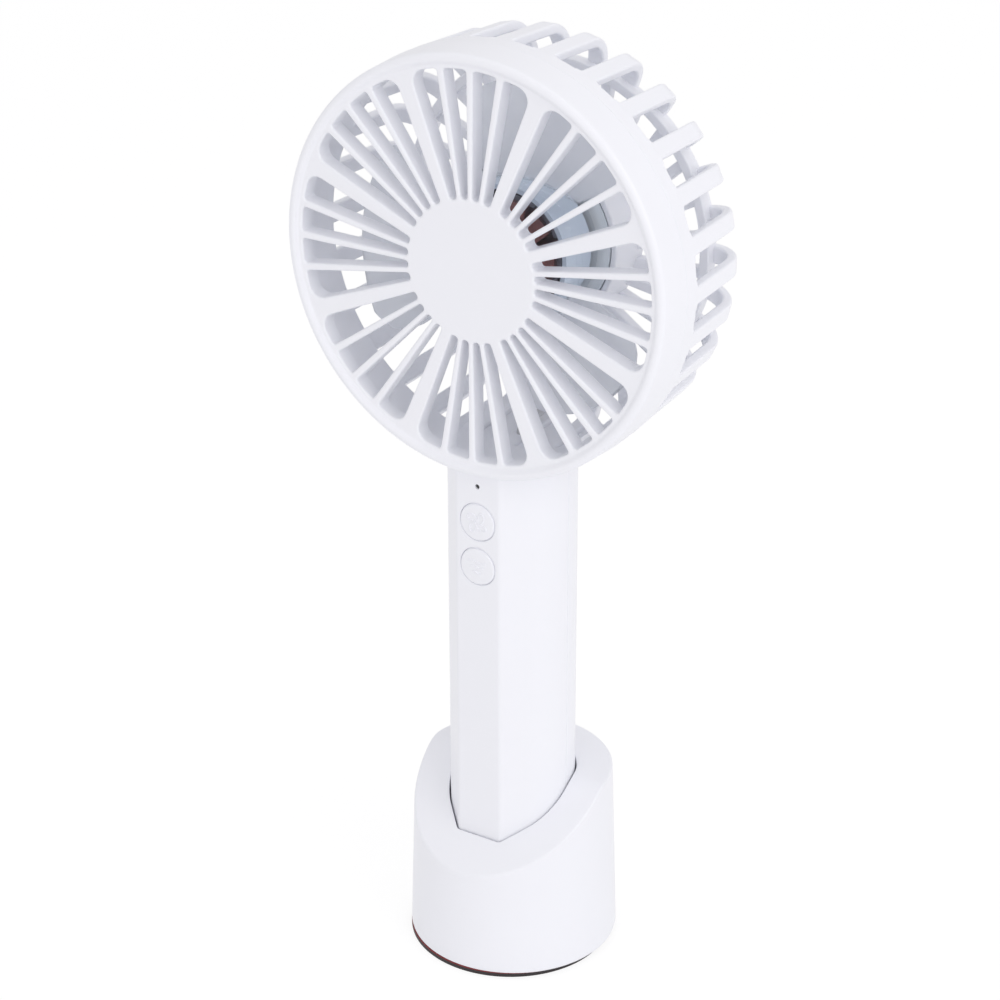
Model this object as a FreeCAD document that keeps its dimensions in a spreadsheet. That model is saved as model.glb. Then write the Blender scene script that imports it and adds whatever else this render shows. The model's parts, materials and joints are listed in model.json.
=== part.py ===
import FreeCAD, Part
import Sketcher
import math
import os
from FreeCAD import Placement, Rotation, Vector

# Handheld battery fan standing in its desk base.
# Millimetres, +Z up, the grille looks along -Y, the origin is the centre of the face the base rests on.
# Head pieces are drawn about the head's own axis: "forward" distances run from the base's axis plane
# towards the viewer, and "behind" distances run away from it.

doc = FreeCAD.newDocument("HandheldFan")
sheet = doc.addObject("Spreadsheet::Sheet", "Sizes")

DRIVING_SIZES = [
    # head and front grille
    ("head_bottom", 132.7),
    ("seam_radius", 50.5),
    ("rim_inset", 0.5),
    ("rim_crest_inset", 2.1),
    ("rim_fillet", 2.0),
    ("cover_depth", 10.1),
    ("cover_wall", 2.1),
    ("face_sink", 1.1),
    ("hub_disc_radius", 16.9),
    ("hub_disc_rise", 0.3),
    ("grille_thickness", 4.2),
    ("slot_margin", 1.5),
    ("wide_spoke_inner_width", 2.8),
    ("wide_spoke_outer_width", 4.4),
    ("thin_rib_inner_width", 1.2),
    ("thin_rib_outer_width", 1.8),
    ("thin_rib_step_angle", 9.7),
    ("sector_count", 8),
    ("slot_corner_radius", 3.0),
    ("slot_small_radius", 0.5),
    ("seam_forward", 9.5),
    ("seam_gap", 0.12),
    # rear cage
    ("band_height", 4.6),
    ("band_wall", 2.0),
    ("lip_height", 3.0),
    ("lip_wall", 1.3),
    ("lip_gap", 0.15),
    ("cage_rib_count", 28),
    ("cage_rib_width", 4.3),
    ("cage_rib_thickness", 2.4),
    ("cage_taper", 1.4),
    ("cage_back_behind", 22.3),
    ("cage_corner_radius", 9.4),
    ("cage_inner_corner_radius", 6.8),
    ("back_ring_inset", 9.5),
    ("back_ring_wall", 2.4),
    ("back_ring_front_behind", 17.4),
    ("back_ring_step", 0.3),
    ("back_ring_step_rise", 2.1),
    ("back_spoke_width", 2.6),
    ("back_spoke_thickness", 3.0),
    ("back_spoke_swirl", 9.0),
    ("back_face_behind", 21.5),
    ("duct_width", 6.0),
    ("saddle_half_angle", 18.5),
    # motor
    ("cup_wall", 1.5),
    ("cup_front_behind", 9.8),
    ("cup_floor", 2.0),
    ("cup_gap", 0.35),
    ("cap_ledge", 1.3),
    ("cap_thickness", 1.7),
    ("motor_plate_radius", 19.65),
    ("motor_plate_thickness", 0.8),
    ("motor_plate_front_behind", 10.0),
    ("shaft_radius", 1.0),
    ("bearing_radius", 2.5),
    ("bearing_height", 2.3),
    ("holder_wall", 0.9),
    ("holder_front", 2.2),
    ("stator_radius", 13.1),
    ("stator_back_behind", 6.0),
    ("stator_front", 0.6),
    ("tooth_count", 9),
    ("tooth_width", 2.0),
    ("coil_build", 1.1),
    ("rotor_band_radius", 16.0),
    ("rotor_band_wall", 1.1),
    ("rotor_band_back_behind", 7.6),
    ("magnet_thickness", 1.3),
    ("magnet_height", 8.6),
    ("motor_screw_radius", 1.0),
    ("motor_screw_circle", 15.0),
    ("motor_board_radius", 15.5),
    ("board_thickness", 1.0),
    ("motor_lead_radius", 1.0),
    ("running_gap", 0.03),
    ("fit_gap", 0.02),
    # impeller
    ("blade_count", 3),
    ("blade_tip_inset", 9.5),
    ("blade_thickness", 1.2),
    ("blade_front", 6.0),
    ("blade_back_behind", 3.2),
    ("blade_lead_angle", 32.0),
    ("blade_sweep_angle", 66.0),
    ("impeller_hub_wall", 1.2),
    ("impeller_hub_front", 4.6),
    ("impeller_hub_back_behind", 8.6),
    ("impeller_bead", 0.25),
    ("impeller_boss_radius", 3.6),
    ("impeller_boss_front", 6.2),
    # handle
    ("handle_radius", 15.5),
    ("handle_centre_behind", -0.5),
    ("handle_facet_rise", 0.7),
    ("handle_facet_half_width", 5.95),
    ("handle_facet_round", 0.7),
    ("handle_wall", 1.8),
    ("handle_bottom", 16.0),
    ("handle_floor", 1.8),
    ("shell_seam_gap", 0.1),
    ("saddle_gap", 0.2),
    ("neck_inset", 6.5),
    ("neck_front_forward", 3.0),
    ("neck_length", 18.0),
    ("lead_bore_radius", 2.2),
    # controls
    ("button_radius", 4.65),
    ("button_gap", 0.2),
    ("button_proud", 0.3),
    ("button_flange", 0.7),
    ("button_flange_thickness", 0.8),
    ("button_travel", 0.4),
    ("power_button_drop", 12.7),
    ("button_pitch", 11.6),
    ("led_drop", 3.5),
    ("led_radius", 0.6),
    ("led_recess", 0.5),
    ("plunger_radius", 1.7),
    ("switch_size", 6.0),
    ("switch_height", 3.2),
    ("control_board_drop", 1.7),
    ("control_board_length", 32.0),
    ("control_board_width", 15.0),
    ("control_board_depth", 6.6),
    # battery and charging
    ("battery_inset", 6.3),
    ("battery_rise", 12.6),
    ("battery_drop", 10.4),
    ("battery_centre_behind", 1.6),
    ("battery_gap", 0.15),
    ("cradle_thickness", 1.6),
    ("tab_thickness", 0.3),
    ("tab_radius", 4.0),
    ("wire_radius", 0.5),
    ("wire_offset", 2.5),
    ("charge_board_drop", 28.7),
    ("charge_board_width", 16.0),
    ("charge_board_length", 14.0),
    ("charge_socket_width", 7.5),
    ("charge_socket_height", 2.6),
    ("charge_socket_length", 5.6),
    ("charge_port_gap", 0.3),
    # fasteners
    ("screw_radius", 1.1),
    ("screw_length", 8.0),
    ("screw_head_radius", 2.1),
    ("screw_head_height", 1.5),
    ("thread_gap", 0.05),
    ("boss_wall", 1.4),
    ("lower_boss_rise", 5.5),
    ("neck_screw_half_pitch", 5.0),
    # base
    ("base_bottom_radius", 26.1),
    ("base_taper_per_mm", 0.031),
    ("base_level_height", 47.0),
    ("base_slant_angle", 35.5),
    ("base_slant_drop", 0.8),
    ("base_blend_radius", 9.0),
    ("base_edge_fillet", 0.5),
    ("base_wall", 2.0),
    ("socket_gap", 0.4),
    ("socket_wall", 1.5),
    ("base_floor_thickness", 2.0),
    ("base_screw_inset", 5.5),
    ("base_boss_radius", 2.5),
    ("weight_thickness", 6.0),
    ("weight_gap", 1.1),
    ("foot_thickness", 1.4),
    ("foot_inset", 0.8),
    ("foot_shift", 0.6),
]

# Sizes that follow from the ones above
DERIVED_SIZES = [
    ("head_height", "head_bottom + seam_radius"),
    ("rim_radius", "seam_radius - rim_inset"),
    ("rim_crest_radius", "rim_radius - rim_crest_inset"),
    ("slot_outer_radius", "rim_crest_radius - slot_margin"),
    ("rim_crest_forward", "seam_forward + cover_depth"),
    ("face_forward", "rim_crest_forward - face_sink"),
    ("hub_disc_forward", "face_forward + hub_disc_rise"),
    ("back_ring_radius", "seam_radius - back_ring_inset"),
    ("blade_tip_radius", "seam_radius - blade_tip_inset"),
    ("handle_front", "handle_radius + handle_facet_rise"),
    ("neck_half_width", "handle_radius - neck_inset"),
    ("neck_back_behind", "handle_radius - neck_inset"),
    ("control_board_forward", "handle_front - control_board_depth"),
    ("battery_radius", "handle_radius - battery_inset"),
    ("power_button_height", "head_bottom - power_button_drop"),
    ("mode_button_height", "power_button_height - button_pitch"),
    ("led_height", "head_bottom - led_drop"),
    ("control_board_top", "head_bottom - control_board_drop"),
    ("control_board_bottom", "control_board_top - control_board_length"),
    ("charge_board_height", "head_bottom - charge_board_drop"),
    ("battery_bottom", "handle_bottom + battery_rise"),
    ("battery_length", "charge_board_height - battery_drop - battery_bottom"),
    ("lower_boss_height", "handle_bottom + lower_boss_rise"),
    ("base_slant_height", "base_level_height - base_slant_drop"),
    ("base_screw_circle", "base_bottom_radius - base_screw_inset"),
    ("weight_radius", "base_screw_circle - base_boss_radius - weight_gap"),
    ("foot_radius", "base_bottom_radius - foot_inset"),
]

formulas = [(name, f"={formula}") for name, formula in DERIVED_SIZES]
for row, (name, value) in enumerate(DRIVING_SIZES + formulas, 1):
    sheet.set(f"A{row}", name)
    sheet.set(f"B{row}", str(value))
    sheet.setAlias(f"B{row}", name)
doc.recompute()


# A length or angle that knows its value and the sheet expression it comes from
class Size:
    def __init__(self, value, text):
        self.value = float(value)
        self.text = text

    def __add__(self, other):
        return Size(self.value + num(other), f"({self.text} + {txt(other)})")

    def __radd__(self, other):
        return Size(num(other) + self.value, f"({txt(other)} + {self.text})")

    def __sub__(self, other):
        return Size(self.value - num(other), f"({self.text} - {txt(other)})")

    def __rsub__(self, other):
        return Size(num(other) - self.value, f"({txt(other)} - {self.text})")

    def __mul__(self, other):
        return Size(self.value * num(other), f"({self.text} * {txt(other)})")

    def __rmul__(self, other):
        return Size(num(other) * self.value, f"({txt(other)} * {self.text})")

    def __truediv__(self, other):
        return Size(self.value / num(other), f"({self.text} / {txt(other)})")

    def __neg__(self):
        return Size(-self.value, f"(0 - {self.text})")


def num(size):
    return size.value if isinstance(size, Size) else float(size)


def txt(size):
    return size.text if isinstance(size, Size) else f"{float(size):.6f}"


def sine(angle):
    return Size(math.sin(math.radians(num(angle))), f"sin({txt(angle)})")


def cosine(angle):
    return Size(math.cos(math.radians(num(angle))), f"cos({txt(angle)})")


def tangent(angle):
    return Size(math.tan(math.radians(num(angle))), f"tan({txt(angle)})")


class Sheet:
    def __getattr__(self, name):
        return Size(getattr(sheet, name), f"Sizes.{name}")


s = Sheet()
nodes = []


def bind(thing, prop, size):
    thing.setExpression(prop, txt(size))


def keep(thing, label):
    thing.Label = label
    nodes.append(thing)
    return thing


# Solids made straight from edges and faces
def solid_node(label, shape, place=None):
    node = doc.addObject("Part::Feature", label)
    node.Shape = shape
    if place:
        node.Placement = place
    return keep(node, label)


def box(x0, x1, y0, y1, z0, z1):
    x0, x1, y0, y1, z0, z1 = (num(v) for v in (x0, x1, y0, y1, z0, z1))
    return Part.makeBox(x1 - x0, y1 - y0, z1 - z0, Vector(x0, y0, z0))


def rod(radius, x, y, z, length, direction=(0, 0, 1)):
    return Part.makeCylinder(num(radius), num(length), Vector(num(x), num(y), num(z)), Vector(*direction))


def tube_ring(outer, inner, x, y, z, length, direction=(0, 0, 1)):
    return rod(outer, x, y, z, length, direction).cut(rod(inner, x, y, z, length, direction))


# A closed wire whose corners (x, y, radius) are rounded by tangent arcs
def rounded_wire(corners):
    points = [Vector(num(x), num(y), 0) for x, y, r in corners]
    radii = [num(r) for x, y, r in corners]
    count = len(points)
    starts = []
    ends = []
    mids = []
    for i in range(count):
        corner = points[i]
        back = (points[i - 1] - corner).normalize()
        ahead = (points[(i + 1) % count] - corner).normalize()
        half = back.getAngle(ahead) / 2
        reach = radii[i] / math.tan(half)
        starts.append(corner + back * reach)
        ends.append(corner + ahead * reach)
        inward = (back + ahead).normalize()
        mids.append(corner + inward * (radii[i] / math.sin(half) - radii[i]))
    edges = []
    for i in range(count):
        if radii[i] > 0:
            edges.append(Part.Arc(starts[i], mids[i], ends[i]).toShape())
        if (starts[(i + 1) % count] - ends[i]).Length > 1e-6:
            edges.append(Part.makeLine(ends[i], starts[(i + 1) % count]))
    return Part.Wire(edges)


# A round tube along straight runs joined by tangent arcs
def bent_tube(points, bend_radius, radius):
    route = [Vector(*(num(v) for v in p)) for p in points]
    edges = []
    here = route[0]
    for i in range(1, len(route) - 1):
        back = (route[i - 1] - route[i]).normalize()
        ahead = (route[i + 1] - route[i]).normalize()
        half = back.getAngle(ahead) / 2
        reach = num(bend_radius) / math.tan(half)
        start = route[i] + back * reach
        end = route[i] + ahead * reach
        middle = route[i] + (back + ahead).normalize() * (num(bend_radius) / math.sin(half) - num(bend_radius))
        edges.append(Part.makeLine(here, start))
        edges.append(Part.Arc(start, middle, end).toShape())
        here = end
    edges.append(Part.makeLine(here, route[-1]))
    path = Part.Wire(edges)
    direction = route[1] - route[0]
    section = Part.Wire(Part.makeCircle(num(radius), route[0], direction))
    return path.makePipeShell([section], True, False)


# Sketched bodies
def new_body(label, on_head=False):
    body = doc.addObject("PartDesign::Body", label)
    if on_head:
        body.Placement = Placement(Vector(0, 0, num(s.head_height)), Rotation(Vector(1, 0, 0), 90))
        bind(body, "Placement.Base.z", s.head_height)
    return keep(body, label)


def origin_of(body, role):
    return [f for f in body.Origin.OriginFeatures if f.Role == role][0]


def new_sketch(body, name, plane, lift=None):
    sketch = body.newObject("Sketcher::SketchObject", name)
    sketch.AttachmentSupport = [(origin_of(body, plane), "")]
    sketch.MapMode = "FlatFace"
    if lift is not None:
        bind(sketch, "AttachmentOffset.Base.z", lift)
    return sketch


# A closed polygon whose every corner is held by sheet values
def bound_polygon(sketch, corners):
    first = sketch.GeometryCount
    count = len(corners)
    points = [Vector(num(x), num(y), 0) for x, y in corners]
    for i in range(count):
        sketch.addGeometry(Part.LineSegment(points[i], points[(i + 1) % count]), False)
    for i in range(count):
        sketch.addConstraint(Sketcher.Constraint("Coincident", first + i, 2, first + (i + 1) % count, 1))
    for i, (x, y) in enumerate(corners):
        for kind, value, axis in (("DistanceX", x, -2), ("DistanceY", y, -1)):
            if not isinstance(value, Size) and value == 0:
                sketch.addConstraint(Sketcher.Constraint("PointOnObject", first + i, 1, axis))
            else:
                held = sketch.addConstraint(Sketcher.Constraint(kind, -1, 1, first + i, 1, num(value)))
                bind(sketch, f"Constraints[{held}]", value)


def bound_circle(sketch, x, y, radius):
    first = sketch.GeometryCount
    centre = Vector(num(x), num(y), 0)
    sketch.addGeometry(Part.Circle(centre, Vector(0, 0, 1), num(radius)), False)
    for kind, value, axis in (("DistanceX", x, -2), ("DistanceY", y, -1)):
        if not isinstance(value, Size) and value == 0:
            sketch.addConstraint(Sketcher.Constraint("PointOnObject", first, 3, axis))
        else:
            held = sketch.addConstraint(Sketcher.Constraint(kind, -1, 1, first, 3, num(value)))
            bind(sketch, f"Constraints[{held}]", value)
    held = sketch.addConstraint(Sketcher.Constraint("Radius", first, num(radius)))
    bind(sketch, f"Constraints[{held}]", radius)


def wire_to_sketch(sketch, wire):
    for edge in wire.OrderedEdges:
        curve = edge.Curve
        if isinstance(curve, Part.Circle):
            ends = [v.Point for v in edge.Vertexes]
            middle = edge.valueAt((edge.FirstParameter + edge.LastParameter) / 2)
            sketch.addGeometry(Part.Arc(ends[0], middle, ends[-1]), False)
        else:
            sketch.addGeometry(Part.LineSegment(edge.Vertexes[0].Point, edge.Vertexes[-1].Point), False)


def revolve(body, name, sketch, angle=360, both_sides=False):
    feature = body.newObject("PartDesign::Revolution", name)
    feature.Profile = sketch
    feature.ReferenceAxis = (sketch, ["V_Axis"])
    feature.Midplane = both_sides
    feature.Refine = False
    bind(feature, "Angle", angle)
    return feature


def pad(body, name, sketch, length, centred=False, flipped=False):
    feature = body.newObject("PartDesign::Pad", name)
    feature.Profile = sketch
    if centred:
        feature.SideType = "Symmetric"
    feature.Reversed = flipped
    feature.Refine = False
    bind(feature, "Length", length)
    return feature


def pocket(body, name, sketch, length, flipped=False):
    doc.recompute()
    before = body.Shape.Volume
    feature = body.newObject("PartDesign::Pocket", name)
    feature.Profile = sketch
    feature.Reversed = flipped
    feature.Refine = False
    bind(feature, "Length", length)
    body.Tip = feature
    doc.recompute()
    if body.Shape.Volume > before - 1e-3:
        raise RuntimeError(f"{name} cuts nothing")
    return feature


def around_axis(body, name, features, count):
    feature = body.newObject("PartDesign::PolarPattern", name)
    feature.Originals = features
    feature.Axis = (origin_of(body, "Z_Axis"), [""])
    feature.Angle = 360
    feature.Refine = False
    bind(feature, "Occurrences", count)
    body.Tip = feature
    return feature


def turned(label, corners, on_head=True):
    body = new_body(label, on_head)
    sketch = new_sketch(body, f"{label}_profile", "XZ_Plane")
    bound_polygon(sketch, corners)
    revolve(body, f"{label}_turn", sketch)
    return body


# Front grille: a dished plate with eight wide spokes, thin ribs between them and a rolled rim
def slot_corners(low_angle, low_widths, high_angle, high_widths, high_radius, low_radius):
    near = num(s.hub_disc_radius)
    far = num(s.slot_outer_radius)

    def edge_point(angle, width, radius, side):
        turn = math.radians(angle)
        along = math.sqrt(radius ** 2 - (width / 2) ** 2)
        x = along * math.cos(turn) - side * width / 2 * math.sin(turn)
        y = along * math.sin(turn) + side * width / 2 * math.cos(turn)
        return x, y

    small = num(s.slot_small_radius)
    return [
        edge_point(low_angle, low_widths[0], near, 1) + (small,),
        edge_point(low_angle, low_widths[1], far, 1) + (low_radius,),
        edge_point(high_angle, high_widths[1], far, -1) + (high_radius,),
        edge_point(high_angle, high_widths[0], near, -1) + (small,),
    ]


def front_grille():
    body = new_body("front_grille", on_head=True)
    profile = new_sketch(body, "grille_profile", "XZ_Plane")
    back = s.face_forward - s.grille_thickness
    seam = s.seam_forward + s.seam_gap
    corners = [
        (0, s.hub_disc_forward),
        (s.hub_disc_radius, s.hub_disc_forward),
        (s.slot_outer_radius + s.slot_small_radius / 2, s.face_forward),
        (s.rim_crest_radius, s.rim_crest_forward),
    ]
    for turn in (0, 22.5, 45, 67.5, 90):
        corners.append((s.rim_radius - s.rim_fillet + s.rim_fillet * sine(turn),
                        s.rim_crest_forward - s.rim_fillet + s.rim_fillet * cosine(turn)))
    corners += [
        (s.seam_radius, seam),
        (s.seam_radius - s.cover_wall, seam),
        (s.seam_radius - s.cover_wall, back),
        (0, back),
    ]
    bound_polygon(profile, corners)
    revolve(body, "grille_turn", profile)
    step = num(s.thin_rib_step_angle)
    wide_angle = 180 / num(s.sector_count)
    thin = (num(s.thin_rib_inner_width), num(s.thin_rib_outer_width))
    wide = (num(s.wide_spoke_inner_width), num(s.wide_spoke_outer_width))
    small = num(s.slot_small_radius)
    big = num(s.slot_corner_radius)
    slots = new_sketch(body, "grille_slots", "XY_Plane", s.rim_crest_forward)
    for corners in (
        slot_corners(0, thin, step, thin, small, small),
        slot_corners(step, thin, wide_angle, wide, big, small),
        slot_corners(-step, thin, 0, thin, small, small),
        slot_corners(-wide_angle, wide, -step, thin, small, big),
    ):
        wire_to_sketch(slots, rounded_wire(corners))
    cut = pocket(body, "grille_slot_cut", slots, s.rim_crest_forward - back + 0.5)
    around_axis(body, "grille_sectors", [cut], s.sector_count)


# Rear cage: a band behind the seam, hooked ribs, a back ring, swirled spokes and the motor cup
def rear_cage():
    band_outer = s.seam_radius - s.seam_gap
    saddle_outer = band_outer + s.seam_gap / 2
    band_back = s.seam_forward - s.band_height
    lip_outer = s.seam_radius - s.cover_wall - s.lip_gap
    lip_inner = lip_outer - s.lip_wall
    cup_bore = s.motor_plate_radius + s.cup_gap
    cup_outer = cup_bore + s.cup_wall
    floor_front = -(s.motor_plate_front_behind + s.motor_plate_thickness)
    floor_back = floor_front - s.cup_floor
    holder_bore = s.bearing_radius + s.holder_wall + s.fit_gap

    body = new_body("rear_cage", on_head=True)
    band = new_sketch(body, "band_profile", "XZ_Plane")
    bound_polygon(band, [
        (lip_inner, band_back),
        (band_outer, band_back),
        (band_outer, s.seam_forward),
        (lip_outer, s.seam_forward),
        (lip_outer, s.seam_forward + s.lip_height),
        (lip_inner, s.seam_forward + s.lip_height),
    ])
    revolve(body, "band_turn", band)

    saddle = new_sketch(body, "saddle_profile", "YZ_Plane")
    handle_back = s.handle_radius + s.handle_centre_behind
    bound_polygon(saddle, [
        (-saddle_outer, band_back + 0.5),
        (-(saddle_outer - s.band_wall), band_back + 0.5),
        (-(saddle_outer - s.band_wall), -handle_back),
        (-saddle_outer, -handle_back),
    ])
    revolve(body, "saddle_turn", saddle, s.saddle_half_angle * 2, both_sides=True)

    neck = new_sketch(body, "neck_outline", "XY_Plane", -s.neck_back_behind)
    neck_top = -(band_outer - s.band_wall / 2)
    neck_bottom = -(band_outer + s.neck_length)
    bound_polygon(neck, [
        (-s.neck_half_width, neck_bottom),
        (s.neck_half_width, neck_bottom),
        (s.neck_half_width, neck_top),
        (-s.neck_half_width, neck_top),
    ])
    pad(body, "neck_block", neck, s.neck_back_behind + s.neck_front_forward)

    duct = new_sketch(body, "wire_duct_outline", "XZ_Plane", cup_outer - 0.6)
    duct_front = s.back_spoke_thickness - s.back_face_behind
    bound_polygon(duct, [
        (-s.duct_width / 2, -s.back_face_behind),
        (s.duct_width / 2, -s.back_face_behind),
        (s.duct_width / 2, duct_front),
        (-s.duct_width / 2, duct_front),
    ])
    pad(body, "wire_duct", duct, s.back_ring_radius - cup_outer)

    cap_seat = s.cap_thickness - s.back_face_behind
    cup = new_sketch(body, "motor_cup_profile", "XZ_Plane")
    bound_polygon(cup, [
        (holder_bore, floor_front),
        (cup_bore, floor_front),
        (cup_bore, -s.cup_front_behind),
        (cup_outer, -s.cup_front_behind),
        (cup_outer + 0.6, -s.back_face_behind),
        (cup_bore, -s.back_face_behind),
        (cup_bore, cap_seat),
        (cup_bore - s.cap_ledge, cap_seat),
        (cup_bore - s.cap_ledge, floor_back),
        (holder_bore, floor_back),
    ])
    revolve(body, "motor_cup_turn", cup)
    screw = new_sketch(body, "motor_screw_hole_outline", "XY_Plane", floor_front + 0.5)
    bound_circle(screw, s.motor_screw_circle, 0, s.motor_screw_radius + s.thread_gap)
    hole = pocket(body, "motor_screw_hole", screw, s.cup_floor + 1.0)
    around_axis(body, "motor_screw_holes", [hole], 3)
    port = new_sketch(body, "lead_port_outline", "XZ_Plane", cup_outer + 1.5)
    bound_circle(port, 0, -motor_lead_behind, motor_lead_radius + 0.2)
    pocket(body, "lead_port", port, s.cup_wall + s.cap_ledge + 2.0)

    ring = new_sketch(body, "back_ring_profile", "XZ_Plane")
    step_forward = s.back_ring_step_rise - s.cage_back_behind
    ring_inner = s.back_ring_radius - s.back_ring_wall
    ring_step = s.back_ring_radius - s.back_ring_step
    bound_polygon(ring, [
        (ring_inner, -s.cage_back_behind),
        (ring_step, -s.cage_back_behind),
        (ring_step, step_forward),
        (s.back_ring_radius, step_forward),
        (s.back_ring_radius, -s.back_ring_front_behind),
        (ring_inner, -s.back_ring_front_behind),
    ])
    revolve(body, "back_ring_turn", ring)

    # each swirled spoke meets the ring midway between two ribs
    between = math.pi / num(s.cage_rib_count)
    swirl = math.radians(num(s.back_spoke_swirl)) - between
    near = num(cup_outer) - 0.6
    far = num(s.back_ring_radius - s.back_ring_wall / 2)
    start = Vector(near * math.cos(swirl), -near * math.sin(swirl), 0)
    end = Vector(far * math.cos(between), far * math.sin(between), 0)
    side = (end - start).normalize().cross(Vector(0, 0, 1)) * (num(s.back_spoke_width) / 2)
    spoke = new_sketch(body, "back_spoke_outline", "XY_Plane", -s.back_face_behind)
    wire_to_sketch(spoke, Part.makePolygon([start + side, end + side, end - side, start - side, start + side]))
    spoke_pad = pad(body, "back_spoke", spoke, s.back_spoke_thickness)
    around_axis(body, "back_spokes", [spoke_pad], s.cage_rib_count)

    rib = new_sketch(body, "cage_rib_outline", "XZ_Plane")
    rib_root = band_back + 0.5
    rib_end = ring_inner + 0.2
    rib_front_back = s.cage_rib_thickness - s.cage_back_behind
    wire_to_sketch(rib, rounded_wire([
        (band_outer - 0.05, rib_root, 0),
        (band_outer - s.cage_taper, -s.cage_back_behind, s.cage_corner_radius),
        (rib_end, -s.cage_back_behind, 0),
        (rib_end, rib_front_back, 0),
        (band_outer - s.cage_taper - s.cage_rib_thickness, rib_front_back, s.cage_inner_corner_radius),
        (band_outer - s.cage_rib_thickness, rib_root, 0),
    ]))
    rib_pad = pad(body, "cage_rib", rib, s.cage_rib_width, centred=True)
    around_axis(body, "cage_ribs", [rib_pad], s.cage_rib_count)

    bore = new_sketch(body, "lead_bore_outline", "XZ_Plane", -neck_bottom + 0.5)
    bound_circle(bore, 0, -lead_behind, s.lead_bore_radius)
    pocket(body, "lead_bore", bore, s.neck_length + s.band_wall + 2.5)
    pilot = new_sketch(body, "neck_pilot_outline", "XY_Plane", -s.neck_back_behind - 0.5)
    pilot_y = -(band_outer + s.neck_length / 2)
    for sign in (-1, 1):
        bound_circle(pilot, sign * s.neck_screw_half_pitch, pilot_y, s.screw_radius + s.thread_gap)
    pocket(body, "neck_pilots", pilot, s.screw_length, flipped=True)


# Motor
motor_lead_radius = s.motor_lead_radius
lead_behind = (s.neck_back_behind - s.neck_front_forward) / 2
motor_board_front = (s.motor_plate_front_behind + s.motor_plate_thickness + s.cup_floor
                     + s.motor_screw_radius)
motor_lead_behind = motor_board_front + s.board_thickness / 2


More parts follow.
